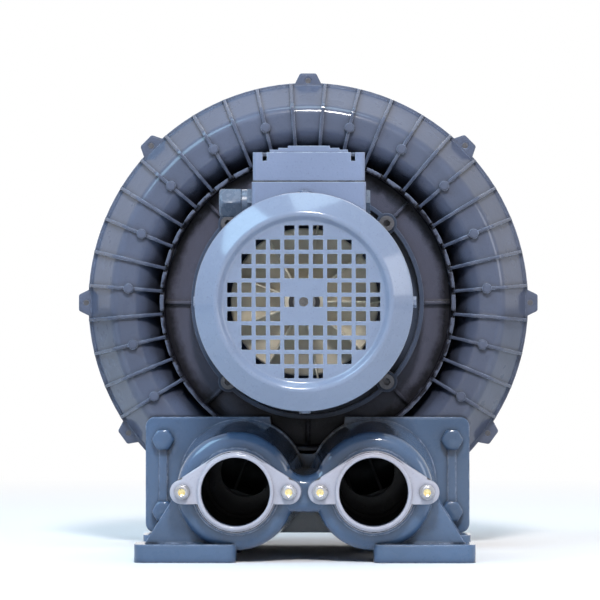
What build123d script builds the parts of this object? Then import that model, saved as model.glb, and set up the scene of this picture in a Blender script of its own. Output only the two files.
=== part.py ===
from build123d import *
import os
from math import atan2, cos, degrees, radians, sin

# Side channel blower with a flange motor and a twin-tube silencer base.
# Millimetres, +Z up, fan end towards -Y. The origin lies on the floor, at the centre of the
# foot bolt pattern. "Forward" distances run from the split plane of the casing towards the
# fan end, and angles round the motor axis run clockwise from the top, seen from the fan end.

# ---- Driving dimensions ----------------------------------------------------------------

# Where the feet and the split plane of the casing lie
tube_floor_clearance = 3.5
foot_pitch_x = 250.0
foot_pitch_y = 140.0
rear_foot_forward = 74.0
split_y = rear_foot_forward + foot_pitch_y / 2

# Ring channel and its two casing halves
channel_radius = 154.5
channel_half_width = 22.0
impeller_half_width = 14.5
impeller_clearance = 0.5
stripper_half_angle = 9.0
split_flange_width = 14.5
rim_thickness = 6.0
rim_land = 2.4
crown_wall = 5.0
crown_outer_half_width = 13.5
crown_inner_half_width = 12.5
crown_outer_fillet = 9.0
crown_inner_fillet = 16.0
channel_inner_wall = 5.2
valley_forward = 20.0
inner_rim_thickness = 3.6
inner_rim_forward = 40.0
disc_wall = 6.0
spigot_radius = 45.0
casing_gasket_thickness = 0.5

# Ribs, bosses and clamp ears of the casing
rib_count = 28
rib_pitch = 9.0
rib_thickness = 2.6
rib_height = 3.0
rib_corner_radius = 8.0
rim_notch_width = 6.5
rim_notch_depth = 6.0
boss_radius = 4.15
boss_height = 1.6
boss_count_per_side = 7
boss_last_angle = 121.5
ear_angles = (-126.0, -90.0, -45.0, 0.0, 45.0, 90.0, 126.0)
ear_base_width = 27.0
ear_top_width = 14.0
ear_reach = 8.3
ear_root_depth = 5.0
ear_corner_radius = 2.5
ear_screw_radius = 2.5
ear_screw_reach = 1.8
ear_screw_head_radius = 4.0
ear_screw_head = 3.75
spoke_count = 8
spoke_width = 2.4
spoke_height = 4.0
spoke_gap = 0.8
hub_cap_height = 6.0

# Port block at the foot of the casing
block_half_width = 139.0
block_top_margin = 55.8
block_bottom_margin = 43.4
block_corner_radius = 8.0
block_forward = 34.0
block_wall = 4.0
block_rear_depth = 34.0
block_notch_radius = 32.0
block_notch_gap = 0.5
block_flange_gap = 0.5
port_spacing = 112.0
port_drop = 154.0
casing_port_radius = 22.0
casing_port_angle = 160.0
block_screw_spread = 90.0
block_screw_radius = 3.0
block_screw_head_radius = 5.1
block_screw_head = 4.5

# Silencer casting
plate_thickness = 12.0
plate_bolt_side_margin = 15.2
plate_bolt_top_margin = 19.4
plate_bolt_bottom_margin = 18.4
plate_bolt_radius = 6.0
plate_bolt_across_flats = 17.0
plate_bolt_head = 7.5
plate_bolt_depth = 16.0
plate_ridge_width = 7.0
plate_ridge_height = 2.0
silencer_gasket_thickness = 1.0
tube_rear_radius = 54.5
tube_front_radius = 48.0
tube_wall = 5.0
tube_front_forward = 232.0
tube_front_wall = 7.0
tube_shoulder = 9.0
web_top_rise = 12.7
web_bottom_margin = 17.0
web_half_width = 26.0
foot_thickness = 15.0
foot_length = 44.0
foot_outer_margin = 14.0
foot_bolt_radius = 6.5
foot_gusset = 7.0
foot_corner_radius = 8.0

# Ports
bore_radius = 28.0
collar_radius = 33.4
collar_lip_radius = 31.0
pad_thickness = 4.0
pad_margin = 2.0
port_gasket_thickness = 0.8
port_flange_thickness = 7.5
collar_height = 9.5
port_screw_offset = 43.3
port_ear_radius = 10.0
port_screw_radius = 3.0
port_screw_head_radius = 5.2
port_screw_head = 5.0
port_screw_depth = 9.0
port_socket_radius = 2.3
washer_radius = 6.2
washer_thickness = 1.2

# Silencer fill
liner_gap = 0.3
liner_inner_radius = 32.0
inner_tube_radius = 31.7
inner_tube_wall = 1.2
inner_tube_ring = 2.0

# Motor frame
flange_radius = 100.0
flange_base = 8.0
flange_rim_width = 3.7
flange_rim_height = 23.0
lug_pitch_radius = 96.0
lug_radius = 9.0
flange_screw_radius = 4.0
flange_screw_head_radius = 6.5
flange_screw_head = 8.0
flange_socket_radius = 3.2
frame_bore_radius = 62.0
frame_wall = 6.0
frame_start_forward = 40.0
frame_length = 172.0
fin_radius = 84.0
fin_thickness = 2.6
fin_pitch = 10.0
fin_free_angle = 35.0
tie_bolt_pitch_radius = 73.5
tie_bolt_radius = 2.5
tie_bolt_clearance = 0.4
tie_boss_radius = 7.0
tie_bolt_head_radius = 4.5
tie_bolt_head = 4.0
tie_head_margin = 1.0
register_depth = 5.0
register_width = 4.0
fit_clearance = 0.1

# Stator and rotor
stator_length = 90.0
stator_slot_count = 24
stator_slot_depth = 14.0
stator_slot_width = 5.0
slot_liner = 1.0
stator_bore_radius = 38.0
air_gap = 0.5
winding_length = 18.0
cage_ring_width = 8.0
cage_ring_inset = 10.0

# Bearings
drive_bearing_bore = 12.5
drive_bearing_outer = 26.0
drive_bearing_width = 15.0
drive_bearing_forward = 32.0
fan_bearing_bore = 10.0
fan_bearing_outer = 23.5
fan_bearing_width = 14.0
fan_bearing_inset = 12.0
bearing_ring_share = 0.32
bearing_shield = 1.0
bearing_shield_gap = 0.3
bearing_housing_wall = 6.0
wave_washer_thickness = 1.0

# Shaft
shaft_fit = 0.03
impeller_seat_radius = 12.0
seal_seat_radius = 14.0
rotor_seat_radius = 16.0
fan_seat_radius = 9.0
shaft_stub = 32.0
key_width = 8.0
key_height = 7.0
key_depth = 4.0
seal_outer_radius = 22.0
seal_width = 7.0
seal_clearance = 0.1

# Impeller
impeller_hub_radius = 24.0
impeller_web = 7.0
impeller_inner_ring = 131.0
vane_count = 42
vane_thickness = 2.4
pocket_radius = 22.0
pocket_depth = 12.0
impeller_washer_radius = 17.0
impeller_washer_thickness = 4.0
impeller_screw_radius = 4.0
impeller_screw_head = 2.65
impeller_screw_head_radius = 6.5
impeller_screw_depth = 18.0
hub_cover_clearance = 1.0

# Rear end shield, fan and cowl
rear_shield_thickness = 10.0
rear_shield_lug_width = 22.0
cowl_radius = 87.5
cowl_sheet = 1.5
cowl_gap = 1.5
cowl_depth = 86.5
cowl_bevel_depth = 14.0
cowl_bend = 2.4
cowl_crest_radius = 69.0
cowl_face_radius = 64.0
cowl_face_recess = 5.0
cowl_screw_radius = 2.5
cowl_screw_head_radius = 4.6
cowl_screw_head = 3.4
cowl_screw_depth = 9.0
grille_pitch = 11.4
grille_square = 8.1
grille_centre_radius = 3.8
grille_rows = {0: (1, 5), 1: (2, 5), 2: (0, 4), 3: (0, 4), 4: (0, 3), 5: (0, 1)}
fan_gap = 14.0
fan_hub_radius = 17.0
fan_radius = 66.0
fan_back = 2.5
fan_blade_count = 9
fan_blade_thickness = 2.2
fan_blade_height = 26.0
fan_hub_height = 24.0
fan_blade_root = 1.0
circlip_width = 1.2
circlip_radius = 12.5

# Terminal box
box_offset = 3.1
box_half_width = 46.8
box_length = 103.0
box_inset = 0.5
box_bottom_rise = 69.0
box_split_rise = 98.4
box_wall = 3.0
box_corner_radius = 3.0
lid_corner_rise = 122.6
lid_inset = 0.9
lid_gasket_thickness = 1.0
crown_steps = ((32.0, 124.8), (25.0, 126.2), (17.2, 128.0))
well_length = 9.0
well_inset = 8.0
well_width = 3.4
well_depth = 7.0
lid_screw_radius = 2.0
lid_screw_head_radius = 3.6
lid_screw_head = 3.0
lid_screw_depth = 9.0
lid_slot_width = 1.0
lid_post_wall = 1.0
lid_screw_inset = 5.5
pad_half_width = 36.0
box_opening_radius = 20.0
cable_rise = 82.3
cable_inset = 46.5
gland_thread_radius = 10.0
gland_body_radius = 11.4
gland_body_length = 9.3
gland_sleeve_radius = 9.4
gland_thread_overhang = 2.0
gland_nut_across_flats = 23.0
gland_nut_length = 18.7
gland_nut_end_wall = 3.74
gland_dome = 4.0
gland_cable_radius = 5.0
gland_gap = 0.3
plug_radius = 12.0
plug_height = 3.6
board_width = 56.0
board_length = 40.0
board_thickness = 8.0
board_post = 5.0
stud_pitch_x = 17.0
stud_pitch_y = 20.0
stud_radius = 2.0
stud_rise = 9.0
nut_across_flats = 7.0
nut_height = 3.2
earth_screw_head_radius = 5.0
earth_screw_gap = 7.5
earth_screw_head = 3.0

# ---- Sizes that follow from them -------------------------------------------------------

impeller_space = impeller_half_width + impeller_clearance
impeller_radius = channel_radius + channel_half_width - impeller_clearance
rim_radius = channel_radius + channel_half_width + split_flange_width
shell_radius = rim_radius - rim_land
crown_forward = impeller_space + channel_half_width + crown_wall
crown_outer_radius = channel_radius + crown_outer_half_width
crown_inner_radius = channel_radius - crown_inner_half_width
inner_rim_outer_radius = channel_radius - channel_half_width - channel_inner_wall
inner_rim_inner_radius = inner_rim_outer_radius - inner_rim_thickness
inner_rim_middle_radius = (inner_rim_outer_radius + inner_rim_inner_radius) / 2
disc_forward = impeller_space + disc_wall
rib_span = (rib_count - 1) * rib_pitch
rib_angles = [index * rib_pitch - rib_span / 2 for index in range(rib_count)]
ear_root_radius = rim_radius - ear_root_depth
ear_screw_circle = rim_radius + ear_screw_reach
axis_height = port_drop + tube_rear_radius + tube_floor_clearance
block_top_drop = port_drop - block_top_margin
block_bottom_drop = port_drop + block_bottom_margin
block_height = block_bottom_drop - block_top_drop
block_middle_drop = (block_bottom_drop + block_top_drop) / 2
block_screw_drop = (block_bottom_drop + rim_radius - split_flange_width) / 2
plate_bolt_spread = 2 * (block_half_width - plate_bolt_side_margin)
plate_bolt_top_drop = block_top_drop + plate_bolt_top_margin
plate_bolt_bottom_drop = block_bottom_drop - plate_bolt_bottom_margin
web_top_drop = port_drop - web_top_rise
web_bottom_drop = port_drop + web_bottom_margin
plate_forward = block_forward + silencer_gasket_thickness
plate_front = plate_forward + plate_thickness
pad_front = tube_front_forward + pad_thickness
port_flange_forward = pad_front + port_gasket_thickness
port_flange_front = port_flange_forward + port_flange_thickness
frame_end_forward = frame_start_forward + frame_length
stator_centre_forward = frame_start_forward + frame_length / 2
fan_bearing_forward = frame_end_forward - fan_bearing_inset
fan_start_forward = frame_end_forward + rear_shield_thickness + fan_gap
shaft_end_forward = fan_start_forward + shaft_stub
cowl_start_forward = frame_end_forward + cowl_gap
cowl_crest_forward = cowl_start_forward + cowl_depth
cowl_shoulder_forward = cowl_crest_forward - cowl_bevel_depth
cowl_screw_forward = frame_end_forward + rear_shield_thickness / 2
cowl_screw_angles = (0, 90, 180, 270)
box_front_forward = frame_end_forward - box_inset
box_rear_forward = box_front_forward - box_length
cable_forward = box_front_forward - cable_inset
gap_below_lid = box_split_rise + lid_gasket_thickness
ports = {"left": -port_spacing / 2, "right": port_spacing / 2}
tube_centres = [(x, -port_drop) for x in ports.values()]
foot_places = [(x * foot_pitch_x / 2, y * foot_pitch_y / 2) for x in (-1, 1) for y in (-1, 1)]
diagonals = (45.0, 135.0, 225.0, 315.0)

os.makedirs("parts", exist_ok=True)


# ---- Places and shared outlines --------------------------------------------------------


def station(forward):
    """Plane across the motor axis, facing the fan end, at a distance in front of the split."""
    return Plane(origin=(0, split_y - forward, axis_height), x_dir=(1, 0, 0), z_dir=(0, -1, 0))


def radial_plane(angle):
    """Plane through the motor axis: local X runs outwards at the angle, local Y forwards."""
    turn = radians(angle)
    outwards = (sin(turn), 0, cos(turn))
    return Plane(origin=(0, split_y, axis_height), x_dir=outwards, z_dir=(cos(turn), 0, -sin(turn)))


def level(rise):
    """Horizontal plane at a height above the motor axis."""
    return Plane.XY.offset(axis_height + rise)


def polar(radius, angle):
    """Place on a station plane at a radius and an angle, turned so that local Y points outwards."""
    turn = radians(angle)
    return Location((radius * sin(turn), radius * cos(turn), 0), (0, 0, -angle))


def cowl_seat(angle):
    """Plane on the outside of the cowl at one of its screws, facing outwards."""
    around = radial_plane(angle)
    seat = around.from_local_coords((cowl_radius, cowl_screw_forward, 0))
    return Plane(seat, z_dir=around.x_dir)


motor_axis = Axis((0, split_y, axis_height), (0, -1, 0))
section_plane = radial_plane(90)


def ring_section(inner, outer, start, end):
    """Rectangle of a revolved ring between two radii and two forward distances."""
    with Locations(((inner + outer) / 2, (start + end) / 2)):
        Rectangle(outer - inner, end - start)


def shell_section(side, bore):
    """Section of one casing half, from a central bore to the rim; side is 1 in front, -1 behind."""
    with BuildSketch(section_plane) as section:
        with BuildLine():
            crown = FilletPolyline(
                (shell_radius, side * rim_thickness),
                (crown_outer_radius, side * crown_forward),
                (crown_inner_radius, side * crown_forward),
                (inner_rim_outer_radius, side * valley_forward),
                radius=[crown_outer_fillet, crown_inner_fillet],
            )
            Polyline(
                crown @ 1,
                (inner_rim_outer_radius, side * inner_rim_forward),
                (inner_rim_inner_radius, side * inner_rim_forward),
                (inner_rim_inner_radius, side * disc_forward),
                (bore, side * disc_forward),
                (bore, 0),
                (rim_radius, 0),
                (rim_radius, side * rim_thickness),
                crown @ 0,
            )
        make_face()
    return section.sketch


def rib_sections(side):
    """Outlines of the radial ribs, from the rim over the crown to the notches in the inner rim."""
    rib_top = crown_forward + rib_height
    with BuildSketch(*[radial_plane(angle) for angle in rib_angles]) as sections:
        with BuildLine():
            back = FilletPolyline(
                (rim_radius, side * rim_thickness / 2),
                (rim_radius, side * (rim_thickness + rib_height)),
                (crown_outer_radius + rib_height, side * rib_top),
                (crown_inner_radius, side * rib_top),
                (inner_rim_middle_radius, side * (inner_rim_forward - rim_notch_depth / 2)),
                (inner_rim_middle_radius, side * disc_forward),
                radius=[rib_height / 2, rib_corner_radius, rib_corner_radius, rib_height / 2],
            )
            Line(back @ 1, back @ 0)
        make_face()
    return sections.sketch


def block_outline(margin=0.0):
    """Rounded rectangle of the port block and of what bolts to it."""
    with Locations((0, -block_middle_drop)):
        RectangleRounded(
            2 * (block_half_width + margin),
            block_height + 2 * margin,
            block_corner_radius + margin,
        )


# The block's front face is notched between the tubes and cut round the motor flange
with BuildSketch() as block_notch:
    with Locations((0, -block_top_drop)):
        Circle(block_notch_radius)
    with Locations(*tube_centres):
        Circle(tube_rear_radius + block_notch_gap, mode=Mode.SUBTRACT)

with BuildSketch() as block_face:
    block_outline()
    add(block_notch.sketch, mode=Mode.SUBTRACT)
    Circle(flange_radius + block_flange_gap, mode=Mode.SUBTRACT)


with BuildSketch() as ear_profile:
    ear_height = ear_reach + ear_root_depth
    ear_slope = degrees(atan2(ear_height, (ear_base_width - ear_top_width) / 2))
    Trapezoid(ear_base_width, ear_height, ear_slope, align=(Align.CENTER, Align.MIN))
    fillet(ear_profile.vertices().group_by(Axis.Y)[-1], radius=ear_corner_radius)


def clamp_ears():
    """The clamp ears round the rim, in a sketch on a station plane."""
    with Locations(*[polar(ear_root_radius, angle) for angle in ear_angles]):
        add(ear_profile.sketch)


ear_screw_places = [polar(ear_screw_circle, angle) for angle in ear_angles]
block_screw_places = [
    Location((side * offset, -block_screw_drop, 0))
    for side in (-1, 1)
    for offset in (block_screw_spread / 2, block_half_width - block_corner_radius)
]
plate_bolt_places = [
    Location((side * plate_bolt_spread / 2, -drop, 0))
    for side in (-1, 1)
    for drop in (plate_bolt_top_drop, plate_bolt_bottom_drop)
]


# ---- Ring channel, as the space that both casing halves enclose ------------------------


def channel_section(side):
    """Round section of the channel beside the impeller, at one edge of the stripper."""
    with BuildSketch(radial_plane(180 - stripper_half_angle)) as section:
        with Locations((channel_radius, side * impeller_space)):
            Circle(channel_half_width)
    return section.sketch


with BuildPart() as front_channel:
    revolve(channel_section(1), axis=motor_axis, revolution_arc=360 - 2 * stripper_half_angle)
    with BuildSketch(station(block_forward - block_wall)):
        block_outline(block_wall)
    extrude(amount=crown_forward, mode=Mode.SUBTRACT)
    with BuildSketch(station(impeller_space)):
        with Locations(*plate_bolt_places):
            Circle(plate_bolt_radius + block_wall)
    extrude(amount=crown_forward, mode=Mode.SUBTRACT)

with BuildPart() as rear_channel:
    revolve(channel_section(-1), axis=motor_axis, revolution_arc=360 - 2 * stripper_half_angle)
    with BuildSketch(station(block_wall - block_rear_depth)):
        block_outline(block_wall)
    extrude(amount=-crown_forward, mode=Mode.SUBTRACT)

# ---- Front casing half: ribbed die casting with the port block -------------------------

with BuildPart() as blower_housing:
    revolve(shell_section(1, spigot_radius), axis=motor_axis)
    # The inner rim is notched where each rib runs into it
    with BuildSketch(station(inner_rim_forward - rim_notch_depth)):
        with Locations(*[polar(inner_rim_middle_radius, angle) for angle in rib_angles]):
            Rectangle(rim_notch_width, 2 * inner_rim_thickness)
    extrude(amount=rim_notch_depth, mode=Mode.SUBTRACT)
    extrude(rib_sections(1), amount=rib_thickness / 2, both=True)
    with BuildSketch(station(disc_forward)):
        boss_step = 2 * rib_pitch
        for side in (-1, 1):
            last = side * boss_last_angle
            turns = [last - side * index * boss_step for index in range(boss_count_per_side)]
            with Locations(*[polar(channel_radius, turn) for turn in turns]):
                Circle(boss_radius)
    extrude(amount=crown_forward + rib_height + boss_height - disc_forward)
    # The channel wall in front of the port block is cut away and closed by the block
    with BuildSketch(station(block_forward)):
        add(block_face.sketch)
    extrude(amount=crown_forward + rib_height + boss_height, mode=Mode.SUBTRACT)
    with BuildSketch(station(0)):
        add(block_face.sketch)
    extrude(amount=block_forward)
    with BuildSketch(station(0)):
        clamp_ears()
    extrude(amount=rim_thickness)
    # Spokes run out to the inner rim, from the motor flange or from its lugs
    lug_reach = lug_pitch_radius + lug_radius
    with BuildSketch(station(disc_forward)):
        for start, first_angle in ((flange_radius, 0), (lug_reach, 45)):
            spoke_length = inner_rim_middle_radius - start - spoke_gap
            with PolarLocations(inner_rim_middle_radius - spoke_length / 2, spoke_count // 2, first_angle):
                Rectangle(spoke_length, spoke_width)
    extrude(amount=spoke_height)
    # Space for the impeller, the channel, the two ports and the threads
    with BuildSketch(station(0)):
        Circle(impeller_radius + impeller_clearance)
    extrude(amount=impeller_space, mode=Mode.SUBTRACT)
    add(front_channel.part, mode=Mode.SUBTRACT)
    with BuildSketch(station(block_forward)):
        with Locations(*[polar(channel_radius, side * casing_port_angle) for side in (-1, 1)]):
            Circle(casing_port_radius)
    extrude(amount=-2 * block_wall, mode=Mode.SUBTRACT)
    with BuildSketch(station(block_forward)):
        with Locations(*plate_bolt_places):
            Circle(plate_bolt_radius)
    extrude(amount=-plate_bolt_depth, mode=Mode.SUBTRACT)
    with BuildSketch(station(0)):
        with Locations(*ear_screw_places):
            Circle(ear_screw_radius)
        with Locations(*block_screw_places):
            Circle(block_screw_radius)
    extrude(amount=rim_thickness + block_wall, mode=Mode.SUBTRACT)
    with BuildSketch(station(disc_forward)):
        with Locations(*[polar(lug_pitch_radius, angle) for angle in diagonals]):
            Circle(flange_screw_radius)
    extrude(amount=-disc_wall, mode=Mode.SUBTRACT)

blower_housing.part.label = "blower_housing"
export_step(blower_housing.part, "parts/blower_housing.step")

# ---- Rear casing half: the same ring channel, closed behind the impeller ---------------

with BuildPart() as blower_cover:
    revolve(shell_section(-1, 0), axis=motor_axis)
    extrude(rib_sections(-1), amount=rib_thickness / 2, both=True)
    with BuildSketch(station(-block_rear_depth)):
        block_outline()
    extrude(amount=-crown_forward - rib_height, mode=Mode.SUBTRACT)
    with BuildSketch(station(0)):
        block_outline()
    extrude(amount=-block_rear_depth)
    with BuildSketch(station(0)):
        clamp_ears()
    extrude(amount=-rim_thickness)
    spoke_inner = impeller_hub_radius + disc_wall
    cover_spoke_length = inner_rim_middle_radius - impeller_hub_radius
    with BuildSketch(station(-disc_forward)):
        with PolarLocations(impeller_hub_radius + cover_spoke_length / 2, spoke_count):
            Rectangle(cover_spoke_length, spoke_width)
    extrude(amount=-spoke_height)
    with BuildSketch(station(-disc_forward)):
        Circle(spoke_inner)
    extrude(amount=-hub_cap_height)
    with BuildSketch(station(0)):
        Circle(impeller_radius + impeller_clearance)
    extrude(amount=-impeller_space, mode=Mode.SUBTRACT)
    # Room for the screw and washer on the shaft end
    with BuildSketch(station(-impeller_space)):
        Circle(impeller_washer_radius + hub_cover_clearance)
    recess = impeller_washer_thickness + impeller_screw_head + hub_cover_clearance
    extrude(amount=-recess, mode=Mode.SUBTRACT)
    add(rear_channel.part, mode=Mode.SUBTRACT)
    with BuildSketch(station(0)):
        with Locations(*ear_screw_places):
            Circle(ear_screw_radius + fit_clearance)
        with Locations(*block_screw_places):
            Circle(block_screw_radius + fit_clearance)
    extrude(amount=-block_rear_depth, mode=Mode.SUBTRACT)
    # The halves stay apart by the thickness of the gasket
    with BuildSketch(station(0)):
        Rectangle(4 * rim_radius, 4 * rim_radius)
    extrude(amount=-casing_gasket_thickness, mode=Mode.SUBTRACT)

blower_cover.part.label = "blower_cover"
export_step(blower_cover.part, "parts/blower_cover.step")

with BuildPart() as casing_gasket:
    with BuildSketch(station(-casing_gasket_thickness)):
        Circle(rim_radius)
        block_outline()
        Circle(impeller_radius + impeller_clearance, mode=Mode.SUBTRACT)
        with Locations(*ear_screw_places):
            Circle(ear_screw_radius + fit_clearance, mode=Mode.SUBTRACT)
        with Locations(*block_screw_places):
            Circle(block_screw_radius + fit_clearance, mode=Mode.SUBTRACT)
    extrude(amount=casing_gasket_thickness)

casing_gasket.part.label = "casing_gasket"
export_step(casing_gasket.part, "parts/casing_gasket.step")

# Cap screws that clamp the halves together, put in from the rear
with BuildPart() as casing_screws:
    with BuildSketch(station(-rim_thickness)):
        with Locations(*ear_screw_places):
            Circle(ear_screw_radius)
    extrude(amount=2 * rim_thickness)
    with BuildSketch(station(-block_rear_depth)):
        with Locations(*block_screw_places):
            Circle(block_screw_radius)
    extrude(amount=block_rear_depth + rim_thickness)
    with BuildSketch(station(-rim_thickness)):
        with Locations(*ear_screw_places):
            RegularPolygon(ear_screw_head_radius, 6)
    extrude(amount=-ear_screw_head)
    with BuildSketch(station(-block_rear_depth)):
        with Locations(*block_screw_places):
            RegularPolygon(block_screw_head_radius, 6)
    extrude(amount=-block_screw_head)

casing_screws.part.label = "casing_screws"
export_step(casing_screws.part, "parts/casing_screws.step")

# ---- Impeller: aluminium wheel with straight vanes between two half-round pockets ------

with BuildPart() as impeller:
    with BuildSketch(section_plane):
        wheel_bore = impeller_seat_radius + shaft_fit
        ring_section(wheel_bore, impeller_hub_radius, -impeller_half_width, impeller_half_width)
        ring_section(wheel_bore, impeller_radius, -impeller_web / 2, impeller_web / 2)
        ring_section(impeller_inner_ring, impeller_radius, -impeller_half_width, impeller_half_width)
        pocket_centre = impeller_half_width + pocket_radius - pocket_depth
        with Locations((channel_radius, pocket_centre), (channel_radius, -pocket_centre)):
            Circle(pocket_radius, mode=Mode.SUBTRACT)
    revolve(axis=motor_axis)
    vane_length = impeller_radius - impeller_inner_ring - vane_thickness
    with BuildSketch(station(-impeller_half_width)):
        with PolarLocations((impeller_radius + impeller_inner_ring) / 2, vane_count):
            Rectangle(vane_length, vane_thickness)
    extrude(amount=2 * impeller_half_width)
    with BuildSketch(station(-impeller_half_width)):
        with Locations((0, impeller_seat_radius)):
            Rectangle(key_width + fit_clearance, 2 * (key_height - key_depth + fit_clearance))
    extrude(amount=2 * impeller_half_width, mode=Mode.SUBTRACT)

impeller.part.label = "impeller"
export_step(impeller.part, "parts/impeller.step")

with BuildPart() as impeller_key:
    with BuildSketch(station(-impeller_half_width)):
        with Locations((0, impeller_seat_radius - key_depth)):
            Rectangle(key_width, key_height, align=(Align.CENTER, Align.MIN))
    extrude(amount=2 * impeller_half_width)

impeller_key.part.label = "impeller_key"
export_step(impeller_key.part, "parts/impeller_key.step")

with BuildPart() as impeller_washer:
    with BuildSketch(section_plane):
        washer_back = -impeller_half_width - impeller_washer_thickness
        washer_bore = impeller_screw_radius + fit_clearance
        ring_section(washer_bore, impeller_washer_radius, washer_back, -impeller_half_width)
    revolve(axis=motor_axis)

impeller_washer.part.label = "impeller_washer"
export_step(impeller_washer.part, "parts/impeller_washer.step")

screw_seat_forward = -impeller_half_width - impeller_washer_thickness
with BuildPart() as impeller_screw:
    with BuildSketch(station(screw_seat_forward)):
        Circle(impeller_screw_radius)
    extrude(amount=impeller_washer_thickness + impeller_screw_depth)
    with BuildSketch(station(screw_seat_forward)):
        RegularPolygon(impeller_screw_head_radius, 6)
    extrude(amount=-impeller_screw_head)

impeller_screw.part.label = "impeller_screw"
export_step(impeller_screw.part, "parts/impeller_screw.step")

# ---- Shaft, in steps from the impeller end to the fan ----------------------------------

drive_bearing_end = drive_bearing_forward + drive_bearing_width
fan_bearing_end = fan_bearing_forward + fan_bearing_width
with BuildPart() as shaft:
    with BuildSketch(section_plane):
        ring_section(0, impeller_seat_radius, -impeller_half_width, impeller_half_width)
        ring_section(0, seal_seat_radius, impeller_half_width, drive_bearing_forward - seal_width / 2)
        ring_section(0, drive_bearing_bore, impeller_half_width, drive_bearing_end)
        ring_section(0, rotor_seat_radius, drive_bearing_end, fan_bearing_forward)
        ring_section(0, fan_bearing_bore, fan_bearing_forward, fan_bearing_end)
        ring_section(0, fan_seat_radius, fan_bearing_end, shaft_end_forward)
    revolve(axis=motor_axis)
    with BuildSketch(station(-impeller_half_width)):
        with Locations((0, impeller_seat_radius - key_depth)):
            Rectangle(key_width, 2 * key_height, align=(Align.CENTER, Align.MIN))
    extrude(amount=2 * impeller_half_width, mode=Mode.SUBTRACT)
    with BuildSketch(station(-impeller_half_width)):
        Circle(impeller_screw_radius)
    extrude(amount=impeller_screw_depth, mode=Mode.SUBTRACT)

shaft.part.label = "shaft"
export_step(shaft.part, "parts/shaft.step")

# ---- Drive end shield: the flange that carries the motor on the casing -----------------

bearing_housing_radius = drive_bearing_outer + bearing_housing_wall
register_radius = frame_bore_radius - fit_clearance
with BuildPart() as drive_end_shield:
    with BuildSketch(section_plane):
        shield_front = disc_forward + flange_base
        ring_section(seal_outer_radius, flange_radius, disc_forward, shield_front)
        ring_section(seal_outer_radius, spigot_radius - fit_clearance, impeller_space, disc_forward)
        flange_rim_front = disc_forward + flange_rim_height
        ring_section(flange_radius - flange_rim_width, flange_radius, disc_forward, flange_rim_front)
        ring_section(seal_outer_radius, bearing_housing_radius, shield_front, drive_bearing_end)
        register_bore = frame_bore_radius - register_width
        ring_section(register_bore, frame_bore_radius + frame_wall, shield_front, frame_start_forward)
        register_end = frame_start_forward + register_depth
        ring_section(register_bore, register_radius, frame_start_forward, register_end)
    revolve(axis=motor_axis)
    with BuildSketch(section_plane):
        ring_section(0, drive_bearing_outer + shaft_fit, drive_bearing_forward, drive_bearing_end)
        ring_section(0, seal_seat_radius + fit_clearance, disc_forward, drive_bearing_forward)
    revolve(axis=motor_axis, mode=Mode.SUBTRACT)
    with BuildSketch(station(disc_forward)):
        with Locations(*[polar(lug_pitch_radius, angle) for angle in diagonals]):
            Circle(lug_radius)
    extrude(amount=flange_rim_height)
    with BuildSketch(station(disc_forward)):
        with Locations(*[polar(tie_bolt_pitch_radius, angle) for angle in diagonals]):
            Circle(tie_boss_radius)
    extrude(amount=frame_start_forward - disc_forward)
    with BuildSketch(station(disc_forward)):
        with Locations(*[polar(lug_pitch_radius, angle) for angle in diagonals]):
            Circle(flange_screw_radius + fit_clearance)
        with Locations(*[polar(tie_bolt_pitch_radius, angle) for angle in diagonals]):
            Circle(tie_bolt_radius)
    extrude(amount=flange_rim_height, mode=Mode.SUBTRACT)

drive_end_shield.part.label = "drive_end_shield"
export_step(drive_end_shield.part, "parts/drive_end_shield.step")

# Socket cap screws that fasten the motor flange to the casing disc
with BuildPart() as flange_screws:
    lug_front = disc_forward + flange_rim_height
    with BuildSketch(station(lug_front)):
        with Locations(*[polar(lug_pitch_radius, angle) for angle in diagonals]):
            Circle(flange_screw_radius)
    extrude(amount=-flange_rim_height - disc_wall + impeller_clearance)
    with BuildSketch(station(lug_front)):
        with Locations(*[polar(lug_pitch_radius, angle) for angle in diagonals]):
            Circle(flange_screw_head_radius)
            RegularPolygon(flange_socket_radius, 6, mode=Mode.SUBTRACT)
    extrude(amount=flange_screw_head)

flange_screws.part.label = "flange_screws"
export_step(flange_screws.part, "parts/flange_screws.step")

with BuildPart() as shaft_seal:
    with BuildSketch(section_plane):
        seal_lip = seal_seat_radius + seal_clearance
        seal_outside = seal_outer_radius - fit_clearance
        seal_front = disc_forward - fit_clearance
        ring_section(seal_lip, seal_outside, disc_forward - seal_width / 2, seal_front)
        ring_section(seal_seat_radius + seal_width / 2, seal_outside, impeller_space, seal_front)
    revolve(axis=motor_axis)

shaft_seal.part.label = "shaft_seal"
export_step(shaft_seal.part, "parts/shaft_seal.step")


# ---- Bearings: outer ring with its shields, and inner ring -----------------------------


def bearing_outer_section(bore, outer, start, width):
    """Outer ring with a thin shield at each side, just clear of the inner ring."""
    ring_height = (outer - bore) * bearing_ring_share
    shield_radius = bore + ring_height + bearing_shield_gap
    ring_section(outer - ring_height, outer, start, start + width)
    ring_section(shield_radius, outer, start, start + bearing_shield)
    ring_section(shield_radius, outer, start + width - bearing_shield, start + width)


def bearing_inner_section(bore, outer, start, width):
    """Inner ring, with the shaft fit as its bore clearance."""
    ring_section(bore + shaft_fit, bore + (outer - bore) * bearing_ring_share, start, start + width)


drive_bearing = (drive_bearing_bore, drive_bearing_outer, drive_bearing_forward, drive_bearing_width)
fan_bearing = (fan_bearing_bore, fan_bearing_outer, fan_bearing_forward, fan_bearing_width)

with BuildPart() as drive_bearing_outer_ring:
    with BuildSketch(section_plane):
        bearing_outer_section(*drive_bearing)
    revolve(axis=motor_axis)

drive_bearing_outer_ring.part.label = "drive_bearing_outer_ring"
export_step(drive_bearing_outer_ring.part, "parts/drive_bearing_outer_ring.step")

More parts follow.
